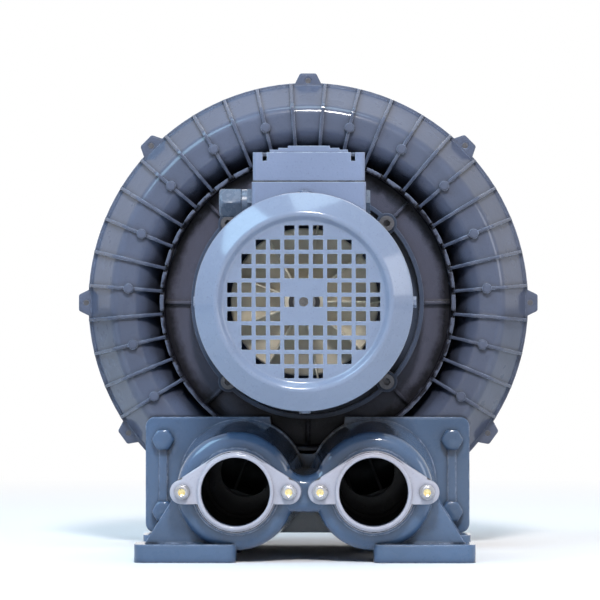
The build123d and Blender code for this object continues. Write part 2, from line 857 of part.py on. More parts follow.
with BuildPart() as drive_bearing_inner_ring:
    with BuildSketch(section_plane):
        bearing_inner_section(*drive_bearing)
    revolve(axis=motor_axis)

drive_bearing_inner_ring.part.label = "drive_bearing_inner_ring"
export_step(drive_bearing_inner_ring.part, "parts/drive_bearing_inner_ring.step")

with BuildPart() as fan_bearing_outer_ring:
    with BuildSketch(section_plane):
        bearing_outer_section(*fan_bearing)
    revolve(axis=motor_axis)

fan_bearing_outer_ring.part.label = "fan_bearing_outer_ring"
export_step(fan_bearing_outer_ring.part, "parts/fan_bearing_outer_ring.step")

with BuildPart() as fan_bearing_inner_ring:
    with BuildSketch(section_plane):
        bearing_inner_section(*fan_bearing)
    revolve(axis=motor_axis)

fan_bearing_inner_ring.part.label = "fan_bearing_inner_ring"
export_step(fan_bearing_inner_ring.part, "parts/fan_bearing_inner_ring.step")

# ---- Stator frame: finned aluminium barrel with the terminal box pad -------------------

with BuildPart() as stator_frame:
    with BuildSketch(station(frame_start_forward)):
        Circle(frame_bore_radius + frame_wall)
        fins = [index * fin_pitch for index in range(round(360 / fin_pitch))]
        fin_length = fin_radius - frame_bore_radius - frame_wall / 2
        with Locations(*[
            polar(fin_radius - fin_length / 2, angle)
            for angle in fins
            if fin_free_angle < angle < 360 - fin_free_angle
        ]):
            Rectangle(fin_thickness, fin_length)
        Circle(frame_bore_radius, mode=Mode.SUBTRACT)
    extrude(amount=frame_length)
    with BuildSketch(station(box_rear_forward)):
        with Locations((box_offset, 0)):
            Rectangle(2 * pad_half_width, box_bottom_rise, align=(Align.CENTER, Align.MIN))
        Circle(frame_bore_radius + frame_wall / 2, mode=Mode.SUBTRACT)
    extrude(amount=frame_end_forward - box_rear_forward)
    with BuildSketch(level(box_bottom_rise)):
        with Locations((box_offset, split_y - box_front_forward + box_length / 2)):
            Circle(box_opening_radius)
    extrude(amount=-box_bottom_rise + frame_bore_radius - frame_wall, mode=Mode.SUBTRACT)
    with BuildSketch(station(frame_start_forward)):
        with Locations(*[polar(tie_bolt_pitch_radius, angle) for angle in diagonals]):
            Circle(tie_bolt_radius + tie_bolt_clearance)
    extrude(amount=frame_length, mode=Mode.SUBTRACT)

stator_frame.part.label = "stator_frame"
export_step(stator_frame.part, "parts/stator_frame.step")

stator_start = stator_centre_forward - stator_length / 2
stator_end = stator_centre_forward + stator_length / 2
with BuildPart() as stator_core:
    with BuildSketch(station(stator_start)):
        Circle(frame_bore_radius - fit_clearance)
        Circle(stator_bore_radius, mode=Mode.SUBTRACT)
        with PolarLocations(stator_bore_radius + stator_slot_depth / 2, stator_slot_count):
            Rectangle(stator_slot_depth + slot_liner, stator_slot_width, mode=Mode.SUBTRACT)
    extrude(amount=stator_length)

stator_core.part.label = "stator_core"
export_step(stator_core.part, "parts/stator_core.step")

with BuildPart() as stator_windings:
    with BuildSketch(section_plane):
        slot_top = stator_bore_radius + stator_slot_depth
        for start in (stator_start - winding_length, stator_end):
            ring_section(stator_bore_radius + fit_clearance, slot_top, start, start + winding_length)
    revolve(axis=motor_axis)
    with BuildSketch(station(stator_start - fit_clearance)):
        coil_depth = stator_slot_depth - 2 * slot_liner
        with PolarLocations(stator_bore_radius + slot_liner + coil_depth / 2, stator_slot_count):
            Rectangle(coil_depth, stator_slot_width - 2 * fit_clearance)
    extrude(amount=stator_length + 2 * fit_clearance)

stator_windings.part.label = "stator_windings"
export_step(stator_windings.part, "parts/stator_windings.step")

rotor_radius = stator_bore_radius - air_gap
with BuildPart() as rotor_core:
    with BuildSketch(section_plane):
        ring_section(rotor_seat_radius + shaft_fit, rotor_radius, stator_start, stator_end)
    revolve(axis=motor_axis)

rotor_core.part.label = "rotor_core"
export_step(rotor_core.part, "parts/rotor_core.step")

# Cast rings that short the bars of the squirrel cage at both ends of the core
with BuildPart() as rotor_cage_rings:
    with BuildSketch(section_plane):
        cage_bore = rotor_radius - cage_ring_inset
        ring_section(cage_bore, rotor_radius - air_gap, stator_start - cage_ring_width, stator_start)
        ring_section(cage_bore, rotor_radius - air_gap, stator_end, stator_end + cage_ring_width)
    revolve(axis=motor_axis)

rotor_cage_rings.part.label = "rotor_cage_rings"
export_step(rotor_cage_rings.part, "parts/rotor_cage_rings.step")

# ---- Rear end shield, wave washer and the tie bolts that close the motor ---------------

with BuildPart() as rear_end_shield:
    shield_end = frame_end_forward + rear_shield_thickness
    with BuildSketch(section_plane):
        housing_radius = fan_bearing_outer + bearing_housing_wall
        shaft_hole = fan_bearing_bore + fit_clearance
        ring_section(shaft_hole, tie_bolt_pitch_radius, frame_end_forward, shield_end)
        ring_section(shaft_hole, housing_radius, fan_bearing_forward, frame_end_forward)
        ring_section(register_bore, register_radius, frame_end_forward - register_depth, frame_end_forward)
    revolve(axis=motor_axis)
    # Four lugs carry the fan cowl, four the heads of the tie bolts
    lug_height = cowl_radius - cowl_sheet - fit_clearance - frame_bore_radius
    with BuildSketch(station(frame_end_forward)):
        with PolarLocations(frame_bore_radius + lug_height / 2, 4):
            Rectangle(lug_height, rear_shield_lug_width)
        with Locations(*[polar(tie_bolt_pitch_radius, angle) for angle in diagonals]):
            Circle(tie_bolt_head_radius + tie_head_margin)
        Circle(cowl_radius - cowl_sheet - fit_clearance, mode=Mode.INTERSECT)
    extrude(amount=rear_shield_thickness)
    with BuildSketch(section_plane):
        washer_end = fan_bearing_end + wave_washer_thickness
        ring_section(0, fan_bearing_outer + shaft_fit, fan_bearing_forward, washer_end)
    revolve(axis=motor_axis, mode=Mode.SUBTRACT)
    with BuildSketch(station(frame_end_forward)):
        with Locations(*[polar(tie_bolt_pitch_radius, angle) for angle in diagonals]):
            Circle(tie_bolt_radius + fit_clearance)
    extrude(amount=rear_shield_thickness, mode=Mode.SUBTRACT)
    with Locations(*[cowl_seat(angle) for angle in cowl_screw_angles]):
        Hole(cowl_screw_radius, depth=cowl_screw_depth)

rear_end_shield.part.label = "rear_end_shield"
export_step(rear_end_shield.part, "parts/rear_end_shield.step")

# Long screws from the rear shield through the fin gaps into the drive end shield
with BuildPart() as tie_bolts:
    tie_places = [polar(tie_bolt_pitch_radius, angle) for angle in diagonals]
    with BuildSketch(station(disc_forward + flange_base)):
        with Locations(*tie_places):
            Circle(tie_bolt_radius)
    extrude(amount=shield_end - disc_forward - flange_base)
    with BuildSketch(station(shield_end)):
        with Locations(*tie_places):
            RegularPolygon(tie_bolt_head_radius, 6)
    extrude(amount=tie_bolt_head)

tie_bolts.part.label = "tie_bolts"
export_step(tie_bolts.part, "parts/tie_bolts.step")

with BuildPart() as wave_washer:
    with BuildSketch(section_plane):
        washer_inner = fan_bearing_outer - (fan_bearing_outer - fan_bearing_bore) * bearing_ring_share
        ring_section(washer_inner, fan_bearing_outer - fit_clearance, fan_bearing_end, washer_end)
    revolve(axis=motor_axis)

wave_washer.part.label = "wave_washer"
export_step(wave_washer.part, "parts/wave_washer.step")

# ---- Cooling fan: moulded hub and back plate with straight blades ----------------------

with BuildPart() as cooling_fan:
    with BuildSketch(station(fan_start_forward)):
        Circle(fan_radius)
    extrude(amount=fan_back)
    with BuildSketch(station(fan_start_forward)):
        Circle(fan_hub_radius)
    extrude(amount=fan_hub_height)
    blade_length = fan_radius - fan_hub_radius
    with BuildSketch(station(fan_start_forward)):
        with PolarLocations(fan_hub_radius + blade_length / 2 - fan_blade_root, fan_blade_count):
            Rectangle(blade_length, fan_blade_thickness)
    extrude(amount=fan_blade_height)
    with BuildSketch(station(fan_start_forward)):
        Circle(fan_seat_radius + shaft_fit)
    extrude(amount=fan_blade_height, mode=Mode.SUBTRACT)

cooling_fan.part.label = "cooling_fan"
export_step(cooling_fan.part, "parts/cooling_fan.step")

with BuildPart() as fan_circlip:
    with BuildSketch(section_plane):
        circlip_start = fan_start_forward + fan_hub_height
        circlip_end = circlip_start + circlip_width
        ring_section(fan_seat_radius + shaft_fit, circlip_radius, circlip_start, circlip_end)
    revolve(axis=motor_axis)

fan_circlip.part.label = "fan_circlip"
export_step(fan_circlip.part, "parts/fan_circlip.step")

# ---- Fan cowl: pressed sheet with a bevelled crest and a recessed, perforated face -----

with BuildPart() as fan_cowl:
    face_forward = cowl_crest_forward - cowl_face_recess
    with BuildSketch(section_plane):
        with BuildLine():
            outside = Polyline(
                (cowl_radius, cowl_start_forward),
                (cowl_radius, cowl_shoulder_forward),
                (cowl_crest_radius, cowl_crest_forward),
                (cowl_face_radius, face_forward),
                (0, face_forward),
            )
            Polyline(
                outside @ 1,
                (0, face_forward - cowl_sheet),
                (cowl_face_radius + cowl_sheet / 2, face_forward - cowl_sheet),
                (cowl_crest_radius - cowl_sheet / 2, cowl_crest_forward - cowl_bend),
                (cowl_radius - cowl_sheet, cowl_shoulder_forward - cowl_sheet),
                (cowl_radius - cowl_sheet, cowl_start_forward),
                outside @ 0,
            )
        make_face()
    revolve(axis=motor_axis)
    # Square perforation in rows, with a round hole in the middle
    grille_places = []
    for row, (first, last) in grille_rows.items():
        for column in range(first, last + 1):
            for x in {column, -column}:
                for y in {row, -row}:
                    grille_places.append((x * grille_pitch, y * grille_pitch))
    with BuildSketch(station(face_forward)):
        with Locations(*grille_places):
            Rectangle(grille_square, grille_square)
        Circle(grille_centre_radius)
    extrude(amount=-2 * cowl_sheet, mode=Mode.SUBTRACT)
    with Locations(*[cowl_seat(angle) for angle in cowl_screw_angles]):
        Hole(cowl_screw_radius + fit_clearance, depth=2 * cowl_sheet)

fan_cowl.part.label = "fan_cowl"
export_step(fan_cowl.part, "parts/fan_cowl.step")

with BuildPart() as cowl_screws:
    for angle in cowl_screw_angles:
        with BuildSketch(cowl_seat(angle)):
            Circle(cowl_screw_radius)
        extrude(amount=-cowl_screw_depth)
        with BuildSketch(cowl_seat(angle)):
            RegularPolygon(cowl_screw_head_radius, 6)
        extrude(amount=cowl_screw_head)

cowl_screws.part.label = "cowl_screws"
export_step(cowl_screws.part, "parts/cowl_screws.step")

# ---- Terminal box ----------------------------------------------------------------------

box_centre_y = split_y - box_front_forward + box_length / 2
box_centre = (box_offset, box_centre_y)
lid_half_width = box_half_width - lid_inset
lid_half_length = box_length / 2 - lid_inset
screw_x = box_half_width - lid_screw_inset
screw_y = box_length / 2 - lid_screw_inset
lid_screw_places = [
    (box_offset + x, box_centre_y + y) for x in (-screw_x, screw_x) for y in (-screw_y, screw_y)
]
post_radius = lid_screw_head_radius + lid_post_wall

with BuildPart() as terminal_box_base:
    with BuildSketch(level(box_bottom_rise)):
        with Locations(box_centre):
            RectangleRounded(2 * box_half_width, box_length, box_corner_radius)
    extrude(amount=box_split_rise - box_bottom_rise)
    with BuildSketch(level(box_bottom_rise + box_wall)):
        with Locations(box_centre):
            Rectangle(2 * (box_half_width - box_wall), box_length - 2 * box_wall)
        with Locations(*lid_screw_places):
            Circle(post_radius, mode=Mode.SUBTRACT)
    extrude(amount=box_split_rise, mode=Mode.SUBTRACT)
    with BuildSketch(level(box_bottom_rise)):
        with Locations(box_centre):
            Circle(box_opening_radius)
    extrude(amount=box_wall, mode=Mode.SUBTRACT)
    with BuildSketch(level(box_split_rise)):
        with Locations(*lid_screw_places):
            Circle(lid_screw_radius)
    extrude(amount=box_wall + box_bottom_rise - box_split_rise, mode=Mode.SUBTRACT)
    cable_y = split_y - cable_forward
    with BuildSketch(Plane.YZ.offset(box_offset)):
        with Locations((cable_y, axis_height + cable_rise)):
            Circle(gland_thread_radius)
    extrude(amount=2 * box_half_width, both=True, mode=Mode.SUBTRACT)

terminal_box_base.part.label = "terminal_box_base"
export_step(terminal_box_base.part, "parts/terminal_box_base.step")

with BuildPart() as lid_gasket:
    with BuildSketch(level(box_split_rise)):
        with Locations(box_centre):
            Rectangle(2 * lid_half_width, 2 * lid_half_length)
            Rectangle(2 * (box_half_width - box_wall), box_length - 2 * box_wall, mode=Mode.SUBTRACT)
        with Locations(*lid_screw_places):
            Circle(lid_screw_head_radius)
            Circle(lid_screw_radius + fit_clearance, mode=Mode.SUBTRACT)
    extrude(amount=lid_gasket_thickness)

lid_gasket.part.label = "lid_gasket"
export_step(lid_gasket.part, "parts/lid_gasket.step")

# The lid rises in shallow steps to its crown, and has a sunk screw well at each corner
with BuildPart() as terminal_box_lid:
    with BuildSketch(level(gap_below_lid)):
        with Locations(box_centre):
            RectangleRounded(2 * lid_half_width, 2 * lid_half_length, box_corner_radius)
    extrude(amount=lid_corner_rise - gap_below_lid)
    for half_width, rise in crown_steps:
        with BuildSketch(level(gap_below_lid)):
            with Locations(box_centre):
                Rectangle(2 * half_width, 2 * (lid_half_length - lid_inset))
        extrude(amount=rise - gap_below_lid)
    with BuildSketch(level(gap_below_lid)):
        with Locations(box_centre):
            Rectangle(2 * (box_half_width - box_wall), box_length - 2 * box_wall)
        with Locations(*lid_screw_places):
            Circle(post_radius, mode=Mode.SUBTRACT)
    extrude(amount=lid_corner_rise - gap_below_lid - box_wall, mode=Mode.SUBTRACT)
    well_x = lid_half_width - well_inset - well_width / 2
    well_y = lid_half_length - well_length / 2
    wells = [(box_offset + x, box_centre_y + y) for x in (-well_x, well_x) for y in (-well_y, well_y)]
    with BuildSketch(level(lid_corner_rise)):
        with Locations(*wells):
            Rectangle(well_width, well_length)
        with Locations(*lid_screw_places):
            Circle(lid_screw_head_radius)
    extrude(amount=-well_depth, mode=Mode.SUBTRACT)
    with BuildSketch(level(gap_below_lid)):
        with Locations(*lid_screw_places):
            Circle(lid_screw_radius + fit_clearance)
    extrude(amount=lid_corner_rise, mode=Mode.SUBTRACT)

terminal_box_lid.part.label = "terminal_box_lid"
export_step(terminal_box_lid.part, "parts/terminal_box_lid.step")

with BuildPart() as lid_screws:
    with BuildSketch(level(lid_corner_rise - well_depth)):
        with Locations(*lid_screw_places):
            Circle(lid_screw_radius)
    extrude(amount=gap_below_lid - lid_corner_rise + well_depth - lid_screw_depth)
    with BuildSketch(level(lid_corner_rise - well_depth)):
        with Locations(*lid_screw_places):
            Circle(lid_screw_head_radius - fit_clearance)
            Rectangle(lid_screw_head_radius, lid_slot_width, mode=Mode.SUBTRACT)
    extrude(amount=lid_screw_head)

lid_screws.part.label = "lid_screws"
export_step(lid_screws.part, "parts/lid_screws.step")


def cable_plane(distance):
    """Plane across the cable entry, facing outwards on the gland side, from the box wall."""
    return Plane(
        origin=(box_offset - box_half_width - distance, cable_y, axis_height + cable_rise),
        x_dir=(0, 1, 0),
        z_dir=(-1, 0, 0),
    )


gland_bore = gland_cable_radius + gland_gap
nut_radius = gland_nut_across_flats / 2 / cos(radians(30))
with BuildPart() as gland_body:
    with BuildSketch(cable_plane(0)):
        Circle(gland_body_radius)
    extrude(amount=gland_body_length)
    with BuildSketch(cable_plane(0)):
        RegularPolygon(nut_radius, 6)
    extrude(amount=gland_body_length / 2)
    with BuildSketch(cable_plane(0)):
        Circle(gland_thread_radius - fit_clearance)
    extrude(amount=-box_wall - gland_thread_overhang)
    with BuildSketch(cable_plane(gland_body_length)):
        Circle(gland_sleeve_radius)
    extrude(amount=gland_nut_length / 2)
    with BuildSketch(cable_plane(gland_nut_length)):
        Circle(gland_bore)
    extrude(amount=-2 * gland_nut_length, mode=Mode.SUBTRACT)

gland_body.part.label = "gland_body"
export_step(gland_body.part, "parts/gland_body.step")

with BuildPart() as gland_seal:
    with BuildSketch(cable_plane(gland_body_length + gland_nut_length / 2 + gland_gap)):
        Circle(gland_sleeve_radius)
        Circle(gland_cable_radius, mode=Mode.SUBTRACT)
    extrude(amount=gland_nut_length / 4)

gland_seal.part.label = "gland_seal"
export_step(gland_seal.part, "parts/gland_seal.step")

# The compression nut is hexagonal at its foot and rounds off to a dome
with BuildPart() as gland_nut:
    with BuildSketch(cable_plane(gland_body_length + gland_gap)):
        RegularPolygon(nut_radius, 6)
    extrude(amount=gland_nut_length - gland_gap)
    with BuildSketch(Plane(origin=cable_plane(0).origin, x_dir=(0, 0, 1), z_dir=(0, 1, 0))):
        with BuildLine():
            nut_end = gland_body_length + gland_nut_length
            nut_foot = (nut_radius + gland_gap, -gland_body_length)
            Polyline(nut_foot, (0, -gland_body_length), (0, -nut_end))
            Line((0, -nut_end), (nut_radius - gland_dome, -nut_end))
            dome_end = (nut_radius, -nut_end + gland_dome)
            RadiusArc((nut_radius - gland_dome, -nut_end), dome_end, -gland_dome)
            Polyline(dome_end, (nut_radius, -gland_body_length - gland_dome), nut_foot)
        make_face()
    revolve(axis=Axis(cable_plane(0).origin, (-1, 0, 0)), mode=Mode.INTERSECT)
    with BuildSketch(cable_plane(gland_body_length)):
        Circle(gland_sleeve_radius + fit_clearance)
    extrude(amount=gland_nut_length - gland_nut_end_wall, mode=Mode.SUBTRACT)
    with BuildSketch(cable_plane(gland_body_length)):
        Circle(gland_bore)
    extrude(amount=gland_nut_length, mode=Mode.SUBTRACT)

gland_nut.part.label = "gland_nut"
export_step(gland_nut.part, "parts/gland_nut.step")

with BuildPart() as blanking_plug:
    plug_origin = (box_offset + box_half_width, cable_y, axis_height + cable_rise)
    plug_plane = Plane(origin=plug_origin, x_dir=(0, 1, 0), z_dir=(1, 0, 0))
    with BuildSketch(plug_plane):
        Circle(gland_thread_radius - fit_clearance)
    extrude(amount=-box_wall)
    with BuildSketch(plug_plane):
        RegularPolygon(plug_radius, 6)
    extrude(amount=plug_height)

blanking_plug.part.label = "blanking_plug"
export_step(blanking_plug.part, "parts/blanking_plug.step")

# Terminal board with six studs, their nuts and the earth screw
board_rise = box_bottom_rise + box_wall + board_post
board_centre = (box_offset, box_centre_y)
stud_places = [
    (box_offset + column * stud_pitch_x, box_centre_y + side * stud_pitch_y / 2)
    for column in (-1, 0, 1)
    for side in (-1, 1)
]
with BuildPart() as terminal_board:
    with BuildSketch(level(board_rise)):
        with Locations(board_centre):
            Rectangle(board_width, board_length)
    extrude(amount=board_thickness)
    with BuildSketch(level(board_rise)):
        with Locations(board_centre):
            with GridLocations(board_width - board_post, board_length - board_post, 2, 2):
                Circle(board_post / 2)
    extrude(amount=-board_post)
    with BuildSketch(level(board_rise)):
        with Locations(*stud_places):
            Circle(stud_radius + fit_clearance)
    extrude(amount=board_thickness, mode=Mode.SUBTRACT)

terminal_board.part.label = "terminal_board"
export_step(terminal_board.part, "parts/terminal_board.step")

stud_base = board_rise + board_thickness
with BuildPart() as terminal_studs:
    with BuildSketch(level(board_rise)):
        with Locations(*stud_places):
            Circle(stud_radius)
    extrude(amount=board_thickness + stud_rise)

terminal_studs.part.label = "terminal_studs"
export_step(terminal_studs.part, "parts/terminal_studs.step")

with BuildPart() as terminal_nuts:
    with BuildSketch(level(stud_base)):
        with Locations(*stud_places):
            RegularPolygon(nut_across_flats / 2, 6, major_radius=False)
            Circle(stud_radius + fit_clearance, mode=Mode.SUBTRACT)
    extrude(amount=nut_height)

terminal_nuts.part.label = "terminal_nuts"
export_step(terminal_nuts.part, "parts/terminal_nuts.step")

with BuildPart() as earth_screw:
    with BuildSketch(level(box_bottom_rise + box_wall)):
        with Locations((box_offset, box_centre_y - board_length / 2 - earth_screw_gap)):
            RegularPolygon(earth_screw_head_radius, 6)
    extrude(amount=earth_screw_head)

earth_screw.part.label = "earth_screw"
export_step(earth_screw.part, "parts/earth_screw.step")

# ---- Silencer: one casting with the mounting plate, twin tubes and feet ----------------

tube_length = tube_front_forward - plate_forward
cavity_front = tube_front_forward - tube_front_wall


def web_section():
    """Web between the tubes, with a round saddle on top that runs tangent into both tubes."""
    half_spacing = port_spacing / 2
    rise = port_drop - web_top_drop
    saddle = (half_spacing**2 + rise**2 - tube_front_radius**2) / (2 * (tube_front_radius - rise))
    share = saddle / (saddle + tube_front_radius)
    saddle_top = saddle - web_top_drop
    touch = (half_spacing * share, saddle_top - (saddle_top + port_drop) * share)
    with BuildSketch() as section:
        with BuildLine():
            ThreePointArc((-touch[0], touch[1]), (0, -web_top_drop), touch)
            Polyline(
                touch,
                (half_spacing, -port_drop),
                (web_half_width, -web_bottom_drop),
                (-web_half_width, -web_bottom_drop),
                (-half_spacing, -port_drop),
                (-touch[0], touch[1]),
            )
        make_face()
    return section.sketch


with BuildPart() as silencer_housing:
    with BuildSketch(station(plate_forward)):
        add(block_face.sketch)
    extrude(amount=plate_thickness)
    for x, drop in tube_centres:
        with BuildSketch(station(plate_forward)):
            with Locations((x, drop)):
                Circle(tube_rear_radius)
        with BuildSketch(station(tube_front_forward)):
            with Locations((x, drop)):
                Circle(tube_front_radius)
        loft()
    with BuildSketch(station(plate_forward)):
        add(web_section())
    extrude(amount=tube_length)
    front_edges = silencer_housing.faces().sort_by(Axis.Y)[0].edges()
    fillet(front_edges, radius=tube_shoulder)
    # Stiffening ridge between the two bolts at each side of the plate
    with BuildSketch(station(plate_front)):
        with Locations(*[(side * plate_bolt_spread / 2, -block_middle_drop) for side in (-1, 1)]):
            Rectangle(plate_ridge_width, plate_bolt_bottom_drop - plate_bolt_top_drop)
    extrude(amount=plate_ridge_height)
    # Feet: pads on the floor under the tubes, stiffened by a gusset each
    pad_outer = foot_pitch_x / 2 + foot_outer_margin
    pad_inner = port_spacing / 2
    with BuildSketch(Plane.XY):
        for side in (-1, 1):
            for end in (-1, 1):
                with Locations((side * (pad_outer + pad_inner) / 2, end * foot_pitch_y / 2)):
                    RectangleRounded(pad_outer - pad_inner, foot_length, foot_corner_radius)
    extrude(amount=foot_thickness)
    for forward in (rear_foot_forward, rear_foot_forward + foot_pitch_y):
        for side in (-1, 1):
            with BuildSketch(station(forward)):
                Polygon(
                    (side * pad_inner, -port_drop),
                    (side * (pad_inner + tube_front_radius), -port_drop),
                    (side * (pad_outer - foot_corner_radius), foot_thickness - axis_height),
                    (side * pad_inner, foot_thickness - axis_height),
                    align=None,
                )
            extrude(amount=foot_gusset / 2, both=True)
    # Flat pads that the port flanges seat on
    with BuildSketch(station(cavity_front)):
        with Locations(*tube_centres):
            Circle(collar_radius + pad_margin)
        for x, drop in tube_centres:
            with Locations((x - port_screw_offset, drop), (x + port_screw_offset, drop)):
                Circle(port_ear_radius)
    extrude(amount=pad_front - cavity_front)
    # Ducts: a wide chamber behind the front wall, and the bore through it
    for x, drop in tube_centres:
        with BuildSketch(station(plate_forward)):
            with Locations((x, drop)):
                Circle(tube_front_radius - tube_wall)
        extrude(amount=tube_length - tube_front_wall, mode=Mode.SUBTRACT)
        with BuildSketch(station(cavity_front)):
            with Locations((x, drop)):
                Circle(bore_radius)
        extrude(amount=pad_front - cavity_front, mode=Mode.SUBTRACT)
        with BuildSketch(station(pad_front)):
            with Locations((x - port_screw_offset, drop), (x + port_screw_offset, drop)):
                Circle(port_screw_radius)
        extrude(amount=-port_screw_depth, mode=Mode.SUBTRACT)
    with BuildSketch(station(plate_forward)):
        with Locations(*plate_bolt_places):
            Circle(plate_bolt_radius + fit_clearance)
    extrude(amount=plate_thickness + plate_ridge_height, mode=Mode.SUBTRACT)
    with BuildSketch(Plane.XY):
        with Locations(*foot_places):
            Circle(foot_bolt_radius)
    extrude(amount=foot_thickness, mode=Mode.SUBTRACT)

silencer_housing.part.label = "silencer_housing"
export_step(silencer_housing.part, "parts/silencer_housing.step")

with BuildPart() as silencer_gasket:
    with BuildSketch(station(block_forward)):
        add(block_face.sketch)
        with Locations(*tube_centres):
            Circle(tube_front_radius - tube_wall, mode=Mode.SUBTRACT)
        with Locations(*plate_bolt_places):
            Circle(plate_bolt_radius + fit_clearance, mode=Mode.SUBTRACT)
    extrude(amount=silencer_gasket_thickness)

silencer_gasket.part.label = "silencer_gasket"
export_step(silencer_gasket.part, "parts/silencer_gasket.step")

with BuildPart() as plate_bolts:
    with BuildSketch(station(plate_front + plate_ridge_height)):
        with Locations(*plate_bolt_places):
            Circle(plate_bolt_radius)
    extrude(amount=-plate_ridge_height - plate_thickness - silencer_gasket_thickness - plate_bolt_depth)
    with BuildSketch(station(plate_front + plate_ridge_height)):
        with Locations(*plate_bolt_places):
            RegularPolygon(plate_bolt_across_flats / 2, 6, major_radius=False)
    extrude(amount=plate_bolt_head)

plate_bolts.part.label = "plate_bolts"
export_step(plate_bolts.part, "parts/plate_bolts.step")

# ---- Port flanges, their gaskets and screws --------------------------------------------


def flange_outline(centre):
    """Round collar with an ear at each side: tangent above, cut level below."""
    with Locations((centre, -port_drop)):
        Circle(collar_radius)
    ears = [centre - port_screw_offset, centre + port_screw_offset]
    for ear in ears:
        with Locations((ear, -port_drop)):
            Circle(port_ear_radius)
    with Locations((centre, -port_drop)):
        lean = atan2(collar_radius - port_ear_radius, port_screw_offset)
        reach_x = collar_radius * sin(lean)
        reach_y = collar_radius * cos(lean)
        ear_x = port_screw_offset + port_ear_radius * sin(lean)
        ear_y = port_ear_radius * cos(lean)
        Polygon(
            (-reach_x, reach_y),
            (-ear_x, ear_y),
            (-port_screw_offset, -port_ear_radius),
            (port_screw_offset, -port_ear_radius),
            (ear_x, ear_y),
            (reach_x, reach_y),
            align=None,
        )


def port_screw_holes(centre, radius):
    """The two screw holes of a port flange, cut from the sketch."""
    with Locations((centre - port_screw_offset, -port_drop), (centre + port_screw_offset, -port_drop)):
        Circle(radius, mode=Mode.SUBTRACT)


for side_name, centre in ports.items():
    with BuildPart() as port_gasket:
        with BuildSketch(station(pad_front)):
            flange_outline(centre)
            port_screw_holes(centre, port_screw_radius + fit_clearance)
            with Locations((centre, -port_drop)):
                Circle(bore_radius, mode=Mode.SUBTRACT)
        extrude(amount=port_gasket_thickness)
    port_gasket.part.label = f"{side_name}_port_gasket"
    export_step(port_gasket.part, f"parts/{side_name}_port_gasket.step")

    with BuildPart() as port_flange:
        with BuildSketch(station(port_flange_forward)):
            flange_outline(centre)
            port_screw_holes(centre, port_screw_radius + fit_clearance)
        extrude(amount=port_flange_thickness)
        with BuildSketch(station(port_flange_forward)):
            with Locations((centre, -port_drop)):
                Circle(collar_lip_radius)
        extrude(amount=collar_height)
        with BuildSketch(station(port_flange_forward)):
            with Locations((centre, -port_drop)):
                Circle(bore_radius)
        extrude(amount=collar_height, mode=Mode.SUBTRACT)
    port_flange.part.label = f"{side_name}_port_flange"
    export_step(port_flange.part, f"parts/{side_name}_port_flange.step")

    with BuildPart() as silencer_liner:
        with BuildSketch(station(plate_front)):
            with Locations((centre, -port_drop)):
                Circle(tube_front_radius - tube_wall - liner_gap)
                Circle(liner_inner_radius + liner_gap + inner_tube_wall, mode=Mode.SUBTRACT)
        extrude(amount=cavity_front - plate_front - liner_gap)
    silencer_liner.part.label = f"{side_name}_silencer_liner"
    export_step(silencer_liner.part, f"parts/{side_name}_silencer_liner.step")

    with BuildPart() as silencer_tube:
        with BuildSketch(station(plate_front)):
            with Locations((centre, -port_drop)):
                Circle(inner_tube_radius + inner_tube_wall)
                Circle(inner_tube_radius, mode=Mode.SUBTRACT)
        extrude(amount=cavity_front - plate_front)
        with BuildSketch(station(plate_front)):
            with Locations((centre, -port_drop)):
                Circle(tube_front_radius - tube_wall - liner_gap)
                Circle(bore_radius, mode=Mode.SUBTRACT)
        extrude(amount=-inner_tube_ring)
    silencer_tube.part.label = f"{side_name}_silencer_tube"
    export_step(silencer_tube.part, f"parts/{side_name}_silencer_tube.step")

port_screw_places = [
    (centre + side * port_screw_offset, -port_drop) for centre in ports.values() for side in (-1, 1)
]
with BuildPart() as port_washers:
    with BuildSketch(station(port_flange_front)):
        with Locations(*port_screw_places):
            Circle(washer_radius)
            Circle(port_screw_radius + fit_clearance, mode=Mode.SUBTRACT)
    extrude(amount=washer_thickness)

port_washers.part.label = "port_washers"
export_step(port_washers.part, "parts/port_washers.step")

with BuildPart() as port_screws:
    screw_seat = port_flange_front + washer_thickness
    with BuildSketch(station(screw_seat)):
        with Locations(*port_screw_places):
            Circle(port_screw_radius)
    extrude(amount=pad_front - port_screw_depth - screw_seat)
    with BuildSketch(station(screw_seat)):
        with Locations(*port_screw_places):
            Circle(port_screw_head_radius)
    extrude(amount=port_screw_head)
    with BuildSketch(station(screw_seat + port_screw_head)):
        with Locations(*port_screw_places):
            RegularPolygon(port_socket_radius, 6)
    extrude(amount=-port_screw_head / 2, mode=Mode.SUBTRACT)

port_screws.part.label = "port_screws"
export_step(port_screws.part, "parts/port_screws.step")
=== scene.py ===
from math import asin, cos, pi, radians, sin

import bmesh
import bpy
import numpy as np
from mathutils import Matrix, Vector
from mathutils.geometry import tessellate_polygon


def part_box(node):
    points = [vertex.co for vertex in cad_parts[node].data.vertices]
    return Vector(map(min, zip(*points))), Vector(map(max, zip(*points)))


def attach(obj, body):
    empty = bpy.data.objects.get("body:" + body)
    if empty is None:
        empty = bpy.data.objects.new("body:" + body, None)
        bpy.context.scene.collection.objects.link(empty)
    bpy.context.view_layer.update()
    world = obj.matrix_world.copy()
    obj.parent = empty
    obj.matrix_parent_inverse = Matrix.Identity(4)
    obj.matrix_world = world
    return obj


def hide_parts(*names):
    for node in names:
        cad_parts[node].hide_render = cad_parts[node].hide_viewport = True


# A side channel blower, dressed from the castings outwards to the ports. Lengths are in metres:
# Z is up, the motor fan and the two ports face -Y, and the feet stand on the plane Z = 0.

